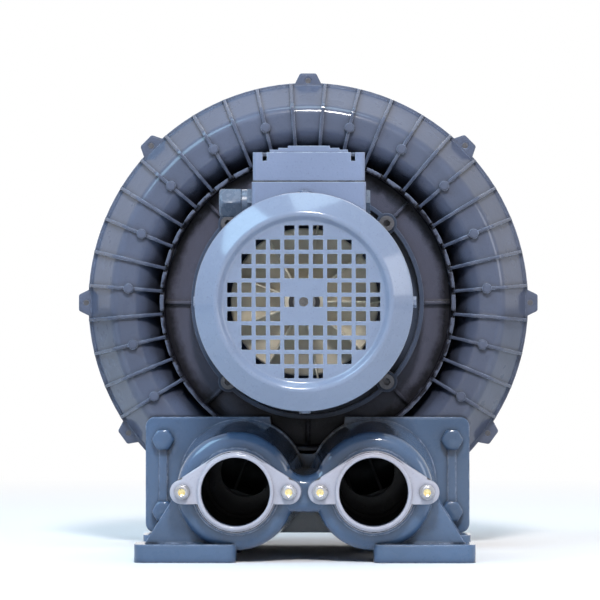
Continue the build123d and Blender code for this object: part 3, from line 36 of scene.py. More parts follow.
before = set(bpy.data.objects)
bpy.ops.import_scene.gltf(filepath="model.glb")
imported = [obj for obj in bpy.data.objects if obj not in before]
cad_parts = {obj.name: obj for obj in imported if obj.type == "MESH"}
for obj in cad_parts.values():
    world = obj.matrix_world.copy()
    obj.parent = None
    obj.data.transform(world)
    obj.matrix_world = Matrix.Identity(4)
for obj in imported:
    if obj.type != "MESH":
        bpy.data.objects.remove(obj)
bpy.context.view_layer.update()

# ---- Camera ----------------------------------------------------------------------------
# A long lens 3.5 m in front of the casing, a little to the right of the motor axis and just
# below it, so that the cowl hides part of the motor flange on the left.

camera_place = (0.0429, -3.364, 0.2036)
camera_lens_mm = 241.86
camera_turn = (radians(90.176), 0.0, radians(0.817))

camera = bpy.data.objects.new("camera", bpy.data.cameras.new("camera"))
camera.data.lens = camera_lens_mm
camera.data.sensor_width = 36.0
camera.data.clip_end = 50.0
camera.location = camera_place
camera.rotation_euler = camera_turn
bpy.context.scene.collection.objects.link(camera)
bpy.context.scene.camera = camera

# ---- Casing halves ---------------------------------------------------------------------
# Two ribbed aluminium die castings that enclose the ring channel, sprayed with a slate blue
# satin enamel. The enamel has orange peel over the cast grain, is darker and less glossy in the
# corners with dust and painted shade, and is thin and paler along the edges of the ribs, ears and bosses.

casing_blue = (0.078, 0.094, 0.146)
casing_edge = (0.300, 0.360, 0.500)
# The disc inside the inner rim is painted in shade, near black in a ragged band at its edge.
rim_foot_radius = 0.1250
shade_band = 0.012
shade_ragged = 0.003
shade_soft = 0.001
disc_shade = (0.067, 0.064, 0.093)
motor_axis_height = 0.212
# Reach in metres, then the openness at which a corner starts to darken and at which it is darkest.
# The darkening is painted shade, with dust in the wide corners too, and near black deep in the ducts.
wide_corner = (0.020, 0.62, 0.20)
fine_corner = (0.0045, 0.92, 0.50)
deep_duct_shade = (0.15, 0.24, 0.10)
# Noise cells to a metre for the slow drift, the specks, the worn edges, the dull patches and the casting.
drift_grain, speck_grain, wear_grain, dull_grain, cast_grain = 11.0, 620.0, 130.0, 60.0, 150.0


def add_node(material, kind, *links, **settings):
    """Adds a shader node; each link is (input, value or another node's output)."""
    node = material.node_tree.nodes.new(kind)
    for key, value in settings.items():
        setattr(node, key, value)
    for socket, value in links:
        if isinstance(value, bpy.types.NodeSocket):
            material.node_tree.links.new(value, node.inputs[socket])
        else:
            node.inputs[socket].default_value = value
    return node


def grain(material, scale, detail=2.0, roughness=0.5, stretch=(1.0, 1.0, 1.0)):
    """Noise on Object coordinates, so many cells to a metre; stretch drags it out along an axis."""
    place = add_node(material, "ShaderNodeTexCoord").outputs["Object"]
    drawn = add_node(material, "ShaderNodeMapping", ("Vector", place), ("Scale", stretch))
    return add_node(
        material, "ShaderNodeTexNoise", ("Vector", drawn.outputs["Vector"]), ("Scale", scale),
        ("Detail", detail), ("Roughness", roughness),
    ).outputs["Fac"]


def spread(material, value, low, high, start=0.0, end=1.0):
    """Maps a value from low..high to start..end and holds it there beyond them."""
    return add_node(
        material, "ShaderNodeMapRange", ("Value", value), ("From Min", low), ("From Max", high),
        ("To Min", start), ("To Max", end),
    ).outputs["Result"]


def product(material, first, second):
    """One mask times another."""
    return add_node(
        material, "ShaderNodeMath", (0, first), (1, second), operation="MULTIPLY"
    ).outputs[0]


def tint(material, mask, first, second):
    """Colour that goes from the first to the second as the mask goes from 0 to 1."""
    mixed = add_node(material, "ShaderNodeMix", (0, mask), data_type="RGBA")
    for socket, value in ((6, first), (7, second)):
        if isinstance(value, bpy.types.NodeSocket):
            material.node_tree.links.new(value, mixed.inputs[socket])
        else:
            mixed.inputs[socket].default_value = (*value, 1.0)
    return mixed.outputs[2]


def rounded(material, radius):
    """Normal of a surface whose edges are rounded by a radius, and a mask of those edges."""
    soft = add_node(material, "ShaderNodeBevel", ("Radius", radius), samples=6).outputs["Normal"]
    flat = add_node(material, "ShaderNodeNewGeometry").outputs["Normal"]
    facing = add_node(material, "ShaderNodeVectorMath", (0, soft), (1, flat), operation="DOT_PRODUCT")
    return soft, spread(material, facing.outputs["Value"], 0.995, 0.80)


def dents(material, height, depth, normal):
    """Bump of a given depth in metres over a normal."""
    return add_node(
        material, "ShaderNodeBump", ("Height", height), ("Distance", depth), ("Strength", 1.0),
        ("Normal", normal),
    ).outputs["Normal"]


def crevices(material, reach, open_to, shut_at):
    """Mask that rises from 0 on open faces to 1 in corners, as seen over a reach in metres."""
    light = add_node(
        material, "ShaderNodeAmbientOcclusion", ("Distance", reach), samples=6,
    ).outputs["AO"]
    return spread(material, light, open_to, shut_at)


def enamel(name, colour, edge_colour, peel_scale=420.0, peel_depth=0.00010, cast_depth=0.00012,
           roughness=0.30, edge_radius=0.0009, dust_and_shade=0.45, coat=0.25, drifts=0.16, fillet=0.0012):
    """Sprayed enamel: slow drift of colour, dust and painted shade in corners, pale thin edges, orange peel
    and cast grain. The fillet rounds every edge in the shading only, and the coat is taken out in corners as
    painted shade."""
    material = bpy.data.materials.new(name)
    material.use_nodes = True
    shader = material.node_tree.nodes["Principled BSDF"]
    normal = rounded(material, fillet)[0]
    edges = rounded(material, edge_radius)[1]
    drift = spread(material, grain(material, drift_grain, 4.0), 0.3, 0.7)
    deep = tuple((1.0 - drifts) * part for part in colour)
    light = tuple(min(1.0, (1.0 + drifts) * part) for part in colour)
    paint = tint(material, drift, deep, light)
    specks = spread(material, grain(material, speck_grain, 3.0), 0.60, 0.72, 0.0, 0.35)
    paint = tint(material, specks, paint, tuple(0.62 * part for part in colour))
    # Corners darken over two reaches: the wide one with dust and painted shade, the fine one with painted
    # shade at the feet of ribs and steps.
    for corner in (wide_corner, fine_corner):
        dust_and_shade_mask = product(material, crevices(material, *corner), dust_and_shade)
        paint = tint(material, dust_and_shade_mask, paint, tuple(0.18 * part for part in colour))
    worn = product(material, edges, spread(material, grain(material, wear_grain, 5.0, 0.7), 0.38, 0.62))
    paint = tint(material, worn, paint, edge_colour)
    material.node_tree.links.new(paint, shader.inputs["Base Color"])
    dull = spread(material, grain(material, dull_grain, 4.0), 0.3, 0.7, roughness - 0.06, roughness + 0.10)
    material.node_tree.links.new(dull, shader.inputs["Roughness"])
    normal = dents(material, grain(material, cast_grain, 4.0, 0.6), cast_depth, normal)
    normal = dents(material, grain(material, peel_scale, 1.0), peel_depth, normal)
    material.node_tree.links.new(normal, shader.inputs["Normal"])
    shader.inputs["Specular IOR Level"].default_value = 0.10
    # The coat fades in corners, a painted shade that keeps them dark.
    coat_with_painted_shade = spread(material, crevices(material, *wide_corner), 0.0, 1.0, coat, 0.1 * coat)
    material.node_tree.links.new(coat_with_painted_shade, shader.inputs["Coat Weight"])
    shader.inputs["Coat Roughness"].default_value = 0.10
    return material


def paint_nodes(material, *names):
    """Gives a material to CAD nodes, whose meshes stay as they are."""
    for name in names:
        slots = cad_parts[name].data.materials
        slots.clear()
        slots.append(material)


def painted_shade_disc(material, foot, band, shade_colour):
    """Painted shade on the recessed disc inside a foot radius round the motor axis, darkest in a ragged band
    at its edge, and near-black painted shade deep inside the ducts. The coat is also taken away there, so
    they stay dark."""
    place = add_node(material, "ShaderNodeTexCoord").outputs["Object"]
    centred = add_node(material, "ShaderNodeMapping", ("Vector", place),
                       ("Location", (0.0, 0.0, -motor_axis_height)), ("Scale", (1.0, 0.0, 1.0)))
    radius = add_node(material, "ShaderNodeVectorMath", (0, centred.outputs["Vector"]), operation="LENGTH")
    radius = add_node(material, "ShaderNodeMath", (0, radius.outputs["Value"]), (1, product(
        material, spread(material, grain(material, 55.0, 5.0, 0.7), 0.3, 0.7, -1.0, 1.0), shade_ragged)),
        operation="ADD").outputs[0]
    inside = spread(material, radius, foot + shade_soft, foot - shade_soft)
    edge = product(material, inside, spread(material, radius, foot - band, foot - 0.4 * band))
    shader = material.node_tree.nodes["Principled BSDF"]
    paint = shader.inputs["Base Color"].links[0].from_socket
    # Painted shade: the disc darkened, near black in its edge band and deep in the ducts, with less coat
    # there.
    shaded_paint = tint(material, product(material, inside, 0.62), paint, shade_colour)
    shade_black = tuple(0.08 * part for part in shade_colour)
    shaded_paint = tint(material, product(material, edge, 0.9), shaded_paint, shade_black)
    deep = crevices(material, *deep_duct_shade)
    shaded_paint = tint(material, deep, shaded_paint, shade_black)
    coat_with_painted_shade = shader.inputs["Coat Weight"].links[0].from_socket
    for mask, kept in ((inside, 0.5), (edge, 0.05), (deep, 0.05)):
        coat_with_painted_shade = product(material, coat_with_painted_shade, spread(material, mask, 0.0, 1.0, 1.0, kept))
    material.node_tree.links.new(coat_with_painted_shade, shader.inputs["Coat Weight"])
    material.node_tree.links.new(shaded_paint, shader.inputs["Base Color"])


casing_enamel = enamel("casing_enamel", casing_blue, casing_edge, coat=0.75, fillet=0.0035)
paint_nodes(casing_enamel, "blower_cover")
housing_enamel = enamel("housing_enamel", casing_blue, casing_edge, coat=0.75, fillet=0.0035)
# Painted shade on the disc round the motor axis and deep in the ducts.
painted_shade_disc(housing_enamel, rim_foot_radius, shade_band, disc_shade)
paint_nodes(housing_enamel, "blower_housing")

# ---- Casing gasket and screws ----------------------------------------------------------
# A thin sheet of compressed fibre between the halves, and black-oxide cap screws put in from
# the rear through the ears and the port block.

fibre_grey = (0.070, 0.068, 0.064)


def fibre(name, colour, scale=900.0, roughness=0.85):
    """Pressed fibre or rubber sheet: two sizes of matt speckle with a fine felted relief."""
    material = bpy.data.materials.new(name)
    material.use_nodes = True
    shader = material.node_tree.nodes["Principled BSDF"]
    felt = grain(material, scale, 5.0, 0.7, (1.0, 0.35, 1.0))
    pale = tuple(min(1.0, 1.9 * part) for part in colour)
    material.node_tree.links.new(
        tint(material, spread(material, felt, 0.4, 0.7), colour, pale), shader.inputs["Base Color"])
    normal = rounded(material, 0.0003)[0]
    normal = dents(material, felt, 0.0001, normal)
    material.node_tree.links.new(normal, shader.inputs["Normal"])
    matt = spread(material, grain(material, 80.0, 3.0), 0.3, 0.7, roughness - 0.08, roughness + 0.08)
    material.node_tree.links.new(matt, shader.inputs["Roughness"])
    return material


def metal(name, colour, roughness=0.32, lay=(1.0, 1.0, 1.0), lay_scale=700.0, lay_depth=0.00003,
          stain=(0.25, 0.23, 0.20), stained=0.35):
    """Bare metal: tool marks drawn out along one axis, bright rubbed edges, and dull stains in blotches."""
    material = bpy.data.materials.new(name)
    material.use_nodes = True
    shader = material.node_tree.nodes["Principled BSDF"]
    shader.inputs["Metallic"].default_value = 1.0
    normal, edges = rounded(material, 0.0004)
    marks = grain(material, lay_scale, 3.0, 0.6, lay)
    bright = tuple(min(1.0, 1.25 * part) for part in colour)
    face = tint(material, spread(material, marks, 0.35, 0.65), colour, bright)
    blotch = product(material, spread(material, grain(material, 45.0, 5.0, 0.65), 0.48, 0.72), stained)
    face = tint(material, blotch, face, tuple(a * b for a, b in zip(colour, stain)))
    face = tint(material, edges, face, bright)
    material.node_tree.links.new(face, shader.inputs["Base Color"])
    dull = spread(material, grain(material, 160.0, 4.0), 0.3, 0.7, roughness - 0.08, roughness + 0.14)
    material.node_tree.links.new(dull, shader.inputs["Roughness"])
    normal = dents(material, marks, lay_depth, normal)
    material.node_tree.links.new(normal, shader.inputs["Normal"])
    return material


gasket_fibre = fibre("gasket_fibre", fibre_grey)
paint_nodes(gasket_fibre, "casing_gasket", "silencer_gasket", "left_port_gasket", "right_port_gasket")
black_oxide = metal("black_oxide_steel", (0.09, 0.09, 0.10), roughness=0.42, stained=0.2)
paint_nodes(black_oxide, "casing_screws", "flange_screws", "fan_circlip")

# ---- Impeller, shaft and their fastenings ----------------------------------------------
# A cast aluminium wheel turned on its faces, keyed to a ground steel shaft and held by a
# washer and an M8 screw on the shaft end.

# The aluminium is near black, a painted shade for the wheel deep inside the casing and the rings inside the
# motor.
shade_darkened_aluminium = metal("shade_darkened_aluminium", (0.045, 0.047, 0.050), roughness=0.55, lay_scale=320.0,
                       lay_depth=0.00008, stained=0.5)
paint_nodes(shade_darkened_aluminium, "impeller", "rotor_cage_rings")
ground_steel = metal("ground_steel", (0.30, 0.30, 0.31), roughness=0.30, lay=(1.0, 14.0, 1.0))
paint_nodes(ground_steel, "shaft", "drive_bearing_inner_ring", "drive_bearing_outer_ring",
            "fan_bearing_inner_ring", "fan_bearing_outer_ring")
plain_steel = metal("plain_steel", (0.42, 0.42, 0.43), roughness=0.34)
paint_nodes(plain_steel, "impeller_key", "impeller_washer", "impeller_screw", "wave_washer")

# ---- Motor castings --------------------------------------------------------------------
# The flanged end shield, the finned frame and the rear shield are aluminium castings in a
# darker blue than the casing's; long tie bolts run between the fins.

motor_blue = (0.045, 0.060, 0.098)
motor_edge = (0.17, 0.20, 0.27)
motor_enamel = enamel("motor_enamel", motor_blue, motor_edge, dust_and_shade=0.7)
paint_nodes(motor_enamel, "drive_end_shield", "stator_frame", "rear_end_shield")
zinc_plate = metal("zinc_plate", (0.60, 0.61, 0.64), roughness=0.30)
paint_nodes(zinc_plate, "tie_bolts", "lid_screws")
seal_rubber = fibre("seal_rubber", (0.018, 0.018, 0.018), scale=500.0, roughness=0.6)
paint_nodes(seal_rubber, "shaft_seal", "lid_gasket", "gland_seal")

# ---- Stator and rotor packs ------------------------------------------------------------
# Stacks of stamped electrical sheet 0.5 mm thick, blued by heat, with varnished copper wire
# wound into bundles that are laced at both ends of the stator.

sheet_pitch = 0.0005
# Length of one band of the wave texture at a scale of 1, a tenth of pi.
wave_band = 0.314


def stacked_sheet(name, colour):
    """Stamped sheets across the motor axis: fine dark lines at the sheet pitch and a bluish drift."""
    material = bpy.data.materials.new(name)
    material.use_nodes = True
    shader = material.node_tree.nodes["Principled BSDF"]
    shader.inputs["Metallic"].default_value = 0.8
    place = add_node(material, "ShaderNodeTexCoord").outputs["Object"]
    seams = add_node(
        material, "ShaderNodeTexWave", ("Vector", place), ("Scale", wave_band / sheet_pitch),
        ("Distortion", 0.4), bands_direction="Y",
    ).outputs["Fac"]
    bluing = tint(material, spread(material, grain(material, 25.0, 3.0), 0.35, 0.65), colour,
                  (0.7 * colour[0], 0.8 * colour[1], 1.2 * colour[2]))
    lined = tint(material, spread(material, seams, 0.25, 0.05), bluing, (0.02, 0.02, 0.02))
    material.node_tree.links.new(lined, shader.inputs["Base Color"])
    normal = rounded(material, 0.0003)[0]
    material.node_tree.links.new(dents(material, seams, 0.00004, normal), shader.inputs["Normal"])
    dull = spread(material, grain(material, 300.0, 3.0), 0.3, 0.7, 0.42, 0.60)
    material.node_tree.links.new(dull, shader.inputs["Roughness"])
    return material


def wound_copper(name, colour):
    """Varnished wire: round strands about a millimetre thick, with amber pooled varnish between them."""
    material = bpy.data.materials.new(name)
    material.use_nodes = True
    shader = material.node_tree.nodes["Principled BSDF"]
    shader.inputs["Metallic"].default_value = 0.6
    shader.inputs["Coat Weight"].default_value = 0.7
    shader.inputs["Coat Roughness"].default_value = 0.15
    place = add_node(material, "ShaderNodeTexCoord").outputs["Object"]
    strands = add_node(
        material, "ShaderNodeTexWave", ("Vector", place), ("Scale", 300.0), ("Distortion", 3.0),
        ("Detail", 2.0), ("Detail Scale", 0.6), wave_type="RINGS", rings_direction="Y",
    ).outputs["Fac"]
    face = tint(material, strands, tuple(0.35 * part for part in colour), colour)
    material.node_tree.links.new(face, shader.inputs["Base Color"])
    normal = rounded(material, 0.0010)[0]
    material.node_tree.links.new(dents(material, strands, 0.0004, normal), shader.inputs["Normal"])
    dull = spread(material, grain(material, 200.0, 3.0), 0.3, 0.7, 0.25, 0.45)
    material.node_tree.links.new(dull, shader.inputs["Roughness"])
    return material


paint_nodes(stacked_sheet("electrical_sheet", (0.16, 0.17, 0.19)), "stator_core", "rotor_core")
paint_nodes(wound_copper("wound_copper", (0.62, 0.27, 0.12)), "stator_windings")

# ---- Cooling fan -----------------------------------------------------------------------
# A moulded cream plastic wheel with nine straight blades, pressed on the shaft behind the
# grille and kept by a circlip. A little dust and painted shade darken its corners.

fan_cream = (0.88, 0.82, 0.68)
moulded_corner = (0.010, 0.6, 0.2)


def moulded_plastic(name, colour, roughness=0.45, edge_radius=0.0006, dust_and_shade=0.25):
    """Moulded plastic: fine spark-eroded texture, faint flow marks and dust with painted shade darkening
    corners.
    """
    material = bpy.data.materials.new(name)
    material.use_nodes = True
    shader = material.node_tree.nodes["Principled BSDF"]
    normal, edges = rounded(material, edge_radius)
    flow = spread(material, grain(material, 30.0, 3.0, 0.5, (1.0, 0.3, 1.0)), 0.3, 0.7)
    face = tint(material, flow, tuple(0.88 * part for part in colour),
                tuple(min(1.0, 1.08 * part) for part in colour))
    # Corners darken with dust and painted shade.
    dust_and_shade_mask = product(material, crevices(material, *moulded_corner), dust_and_shade)
    face = tint(material, dust_and_shade_mask, face, tuple(0.35 * part for part in colour))
    face = tint(material, product(material, edges, 0.4), face, tuple(min(1.0, 1.3 * part) for part in colour))
    material.node_tree.links.new(face, shader.inputs["Base Color"])
    dull = spread(material, grain(material, 240.0, 3.0), 0.3, 0.7, roughness - 0.06, roughness + 0.10)
    material.node_tree.links.new(dull, shader.inputs["Roughness"])
    material.node_tree.links.new(
        dents(material, grain(material, 1500.0, 2.0), 0.00004, normal), shader.inputs["Normal"])
    return material


fan_plastic = moulded_plastic("fan_plastic", fan_cream, dust_and_shade=0.4)

fan_blades = 9
fan_back_radius = 0.0600
fan_blade_radius = 0.0658
fan_hub_radius = 0.0170
fan_bore_radius = 0.0091
fan_blade_width = 0.0258
fan_hub_width = 0.0239
fan_edge = 0.0010
fan_back_sheet = 0.0024
fan_dish_radius = 0.0300
fan_dish_rise = 0.0030
fan_hub_root = 0.0020
fan_hub_foot = 0.0044
fan_hub_straight = 0.0070
fan_hub_draft = 0.0008
fan_hub_top = 0.0020
blade_sink = 0.0010
blade_half = 0.0011
blade_thinning = 0.0003
blade_foot = 0.0008
blade_root_drop = 0.0050
blade_tip_drop = 0.0035

forwards = np.array([0.0, -1.0, 0.0])
fan_rear = np.array([0.0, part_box("cooling_fan")[1].y, motor_axis_height])


def sides_of(axis):
    """Two unit vectors square to an axis and to each other."""
    first = np.cross(axis, [0.0, 0.0, 1.0] if abs(axis[2]) < 0.9 else [1.0, 0.0, 0.0])
    first = first / np.linalg.norm(first)
    return first, np.cross(axis, first)


def turned(profile, centre, axis, turns=96, flats=0, corners=None):
    """A profile of (radius, advance) rows swept round an axis. Where a row has a corner radius, its
    circle is cut down to a regular polygon: radius = the smaller of circle and polygon."""
    profile = np.asarray(profile, float)
    angle = np.linspace(0.0, 2.0 * pi, turns, endpoint=False)
    radius = profile[:, :1] * np.ones(turns)
    if flats:
        polygon = cos(pi / flats) / np.cos(np.mod(angle, 2.0 * pi / flats) - pi / flats)
        radius = np.minimum(radius, np.asarray(corners, float)[:, None] * polygon)
    first, second = sides_of(np.asarray(axis, float))
    around = np.cos(angle)[:, None] * first + np.sin(angle)[:, None] * second
    ahead = profile[:, 1, None, None] * np.asarray(axis, float)
    return np.asarray(centre, float) + ahead + radius[:, :, None] * around


def new_piece(name, sheets, material, body="root", crease=38.0, plates=()):
    """One welded mesh of several grids of points (rows, columns, 3). Columns close on themselves, and
    rows run between two poles, or close too where the first and the last row are the same. Plates are
    pairs of points and triangles."""
    points, faces, first = [], [], 0
    for grid in sheets:
        rows, columns = grid.shape[:2]
        index = first + np.arange(rows * columns).reshape(rows, columns)
        index = np.hstack([index, index[:, :1]])
        corners = index[:-1, :-1], index[1:, :-1], index[1:, 1:], index[:-1, 1:]
        faces.append(np.stack(corners, -1).reshape(-1, 4))
        points.append(grid.reshape(-1, 3))
        first += rows * columns
    faces = np.vstack(faces).tolist()
    for plate, triangles in plates:
        faces += (first + np.asarray(triangles)).tolist()
        points.append(plate)
        first += len(plate)
    mesh = bpy.data.meshes.new(name)
    mesh.from_pydata(np.vstack(points).tolist(), [], faces)
    welded = bmesh.new()
    welded.from_mesh(mesh)
    bmesh.ops.remove_doubles(welded, verts=welded.verts, dist=1e-6)
    bmesh.ops.dissolve_degenerate(welded, edges=welded.edges, dist=1e-7)
    bmesh.ops.recalc_face_normals(welded, faces=welded.faces)
    welded.to_mesh(mesh)
    welded.free()
    mesh.shade_smooth()
    mesh.set_sharp_from_angle(angle=radians(crease))
    mesh.materials.append(material)
    piece = bpy.data.objects.new(name, mesh)
    bpy.context.scene.collection.objects.link(piece)
    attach(piece, body)
    return piece


def fan_blade(turn):
    """A straight radial blade: a rounded flat section carried outwards along s from 0 to 1, with half
    thickness h - t s and top w - a (1 - s)^3 - b s^5, closed by a pole at each end."""
    along = np.linspace(0.0, 1.0, 15)[:, None]
    reach = fan_hub_radius - blade_sink + along * (fan_blade_radius - fan_hub_radius + blade_sink)
    half = blade_half - blade_thinning * along
    low = blade_foot
    high = fan_blade_width - blade_root_drop * (1.0 - along) ** 3 - blade_tip_drop * along ** 5
    around = np.linspace(0.0, 2.0 * pi, 20, endpoint=False)[None, :]
    across = half * np.clip(1.5 * np.cos(around), -1.0, 1.0)
    height = (low + high) / 2 + (high - low) / 2 * np.clip(1.15 * np.sin(around), -1.0, 1.0)
    reach = reach * np.ones_like(around)
    ends = [np.full((1, around.size), value) for value in (reach[0, 0], reach[-1, 0])]
    middle = (low + high[0, 0]) / 2, (low + high[-1, 0]) / 2
    reach = np.vstack([ends[0], reach, ends[1]])
    across = np.vstack([0.0 * ends[0], across, 0.0 * ends[1]])
    height = np.vstack([0.0 * ends[0] + middle[0], height, 0.0 * ends[1] + middle[1]])
    x = reach * sin(turn) + across * cos(turn)
    z = reach * cos(turn) - across * sin(turn)
    return fan_rear + np.stack([x, -height, z], -1)


fan_wheel = turned(
    [(fan_bore_radius, 0.0), (fan_back_radius - fan_edge, 0.0), (fan_back_radius, fan_edge),
     (fan_back_radius - fan_edge, fan_back_sheet), (fan_dish_radius, fan_dish_rise),
     (fan_hub_radius + fan_hub_root, fan_hub_foot),
     (fan_hub_radius, fan_hub_straight), (fan_hub_radius - fan_hub_draft, fan_hub_width - fan_edge),
     (fan_hub_radius - fan_hub_top, fan_hub_width), (fan_bore_radius, fan_hub_width), (fan_bore_radius, 0.0)],
    fan_rear, forwards, 120)
fan_turns = 2.0 * pi * np.arange(fan_blades) / fan_blades + pi / 2
fan = new_piece("fan_wheel", [fan_wheel, *map(fan_blade, fan_turns)], fan_plastic, "rotor")
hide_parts("cooling_fan")

# ---- Fan cowl --------------------------------------------------------------------------
# A deep-drawn sheet steel cowl with a bevelled shoulder, a raised bead round the face and a
# recessed grille of punched squares, sprayed in a lighter semi-gloss blue.

cowl_blue = (0.172, 0.215, 0.310)
cowl_edge = (0.50, 0.58, 0.70)
cowl_enamel = enamel("cowl_enamel", cowl_blue, cowl_edge, peel_scale=300.0, peel_depth=0.00008,
                     cast_depth=0.00003, roughness=0.24, edge_radius=0.0006, dust_and_shade=0.3, coat=0.9, drifts=0.05,
                     fillet=0.0006)

cowl_sheet = 0.0015
cowl_bend = 0.0024
bead_radius = 0.0034
face_fillet = 0.0030
face_radius = 0.0634
face_recess = 0.0050
bevel_normal = radians(52.9)
bead_normal = radians(140.0)
grille_pitch = 0.0114
grille_half = 0.00405
grille_corner = 0.0006
grille_centre = 0.0038
# Each row up from the middle, with its first and last punched column out from the middle; the rows
# and columns are mirrored to the four sides.
grille_rows = {0: (1, 5), 1: (2, 5), 2: (0, 4), 3: (0, 4), 4: (0, 3), 5: (0, 1)}
cowl_low, cowl_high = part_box("fan_cowl")
cowl_radius = (cowl_high.x - cowl_low.x) / 2
cowl_length = cowl_high.y - cowl_low.y


def bend(centre, radius, start, end, steps=8):
    """An arc of the profile, centre + radius (cos t, sin t), with its outward normals (cos t, sin t).
    A negative radius gives a hollow arc with the same normals."""
    angle = np.linspace(start, end, steps)
    normals = np.stack([np.cos(angle), np.sin(angle)], -1)
    return np.asarray(centre) + radius * normals, normals


# Bead and hollow are tangent to the bevel, to a short slope between them and to the face.
bead_drop = (bead_radius + face_fillet) * (1.0 - sin(bead_normal))
slope = (face_recess - bead_drop) / -cos(bead_normal)
bead_centre = face_radius - (bead_radius + face_fillet) * cos(bead_normal) + slope * sin(bead_normal)
shoulder = ((bead_centre - cowl_radius + cowl_bend) * cos(bevel_normal) + (bead_radius - cowl_bend)
            - bead_radius * sin(bevel_normal)) / sin(bevel_normal)
straight = np.array([[cowl_radius, -cowl_length], [cowl_radius, -0.5 * cowl_length]])
outer_parts = [
    (straight, np.array([[1.0, 0.0]] * 2)),
    bend((cowl_radius - cowl_bend, shoulder), cowl_bend, 0.0, bevel_normal),
    bend((bead_centre, -bead_radius), bead_radius, bevel_normal, bead_normal, 14),
    bend((face_radius, face_fillet - face_recess), -face_fillet, bead_normal, pi / 2)]
outer_path = np.vstack([points for points, normals in outer_parts])
inner_path = outer_path - cowl_sheet * np.vstack([normals for points, normals in outer_parts])
cowl_crest = (0.0, cowl_low.y, motor_axis_height)
cowl_skin = turned(np.vstack([inner_path[::-1], outer_path]), cowl_crest, forwards, 180)


def square_hole(x, z):
    """Outline of a punched square with small corner arcs, as (x, z) points."""
    turn = np.linspace(0.0, pi / 2, 3)
    quarters = turn[None, :] + pi / 2 * np.arange(4)[:, None]
    diagonal = pi / 4 + pi / 2 * np.arange(4)[:, None]
    inset = (grille_half - grille_corner) * 2.0 ** 0.5
    across = inset * np.cos(diagonal) + grille_corner * np.cos(quarters)
    up = inset * np.sin(diagonal) + grille_corner * np.sin(quarters)
    return np.stack([x + across.ravel(), z + up.ravel()], -1)


grille_places = sorted({
    (across * column * grille_pitch, up * row * grille_pitch)
    for row, (first, last) in grille_rows.items() for column in range(first, last + 1)
    for across in (-1, 1) for up in (-1, 1)})
centre_turn = np.linspace(0.0, 2.0 * pi, 40, endpoint=False)
holes = [square_hole(x, motor_axis_height + z) for x, z in grille_places] + [np.stack(
    [grille_centre * np.cos(centre_turn), motor_axis_height + grille_centre * np.sin(centre_turn)], -1)]


def pierced(depth, outline):
    """A flat disc at one depth, filled with triangles between its outline and the holes."""
    loops = [outline, *holes]
    flat = np.vstack(loops)
    triangles = tessellate_polygon([[Vector((x, z, 0.0)) for x, z in loop] for loop in loops])
    return np.stack([flat[:, 0], np.full(len(flat), depth), flat[:, 1]], -1), triangles


face_front, face_back = cowl_skin[-1, 0, 1], cowl_skin[0, 0, 1]
hole_walls = [
    np.stack([np.insert(hole, 1, depth, axis=1) for depth in (face_front, face_back)])
    for hole in holes]
cowl = new_piece(
    "pressed_cowl", [cowl_skin, *hole_walls], cowl_enamel, crease=30.0,
    plates=[pierced(face_front, cowl_skin[-1][:, [0, 2]]), pierced(face_back, cowl_skin[0][:, [0, 2]])])
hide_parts("fan_cowl")
paint_nodes(cowl_enamel, "cowl_screws")

# ---- Terminal box ----------------------------------------------------------------------
# A die-cast base and lid with a stepped crown over the terminal board, in nearly the cowl's
# blue but duller. Inside are a moulded board, brass studs and nuts, and the earth screw.

box_blue = (0.185, 0.225, 0.330)
box_edge = (0.45, 0.52, 0.62)
box_enamel = enamel("box_enamel", box_blue, box_edge, roughness=0.34, edge_radius=0.0010, dust_and_shade=0.6,
                    drifts=0.10)
paint_nodes(box_enamel, "terminal_box_base", "terminal_box_lid")
paint_nodes(moulded_plastic("board_resin", (0.17, 0.06, 0.035), roughness=0.5), "terminal_board")
turned_brass = metal("turned_brass", (0.72, 0.52, 0.24), roughness=0.26)
paint_nodes(turned_brass, "terminal_studs", "terminal_nuts", "earth_screw")

# ---- Cable gland and blanking plug -----------------------------------------------------
# Moulded plastic in dark blue-grey: a hexagon body screwed into the box, a domed nut that
# squeezes the seal round the cable, and a hexagon plug in the opposite wall.

gland_blue = (0.085, 0.115, 0.170)
gland_plastic = moulded_plastic("gland_plastic", gland_blue, roughness=0.26)
paint_nodes(gland_plastic, "gland_body", "blanking_plug")

gland_bore = 0.0053
gland_dome = 0.0065
dome_share = 0.62
nut_edge = 0.0010
nut_chamfer = 0.0012
nut_end_wall = 0.0036
nut_low, nut_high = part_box("gland_nut")
nut_length = nut_high.x - nut_low.x
nut_foot = (nut_high.x, (nut_low.y + nut_high.y) / 2, (nut_low.z + nut_high.z) / 2)
nut_corner = (nut_high.y - nut_low.y) / 2
sleeve_radius = 0.0096

# The dome is a quarter ellipse that cuts the hexagon down to a circle:
# advance = length - dome (1 - sin t), radius = corner - share dome (1 - cos t).
swell = np.linspace(0.0, pi / 2, 9)
dome = np.stack([nut_corner - dome_share * gland_dome * (1.0 - np.cos(swell)),
                 nut_length - gland_dome * (1.0 - np.sin(swell))], -1)
nut_profile = np.vstack([
    [(sleeve_radius, 0.0), (nut_corner - nut_chamfer, 0.0), (nut_corner, nut_edge)], dome,
    [(gland_bore + nut_chamfer, nut_length), (gland_bore, nut_length - nut_edge),
     (gland_bore, nut_length - nut_end_wall), (sleeve_radius, nut_length - nut_end_wall),
     (sleeve_radius, 0.0)]])
nut_corners = np.full(len(nut_profile), nut_corner)
gland_nut = new_piece("gland_dome_nut", [turned(nut_profile, nut_foot, (-1.0, 0.0, 0.0), 72, 6, nut_corners)],
                      gland_plastic, crease=50.0)
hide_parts("gland_nut")

# ---- Silencer casting ------------------------------------------------------------------
# One aluminium casting of the bolting plate, two tubes joined by a web, and the feet. Inside
# each tube lies open-cell foam round a thin steel tube; painted hexagon bolts hold the plate.

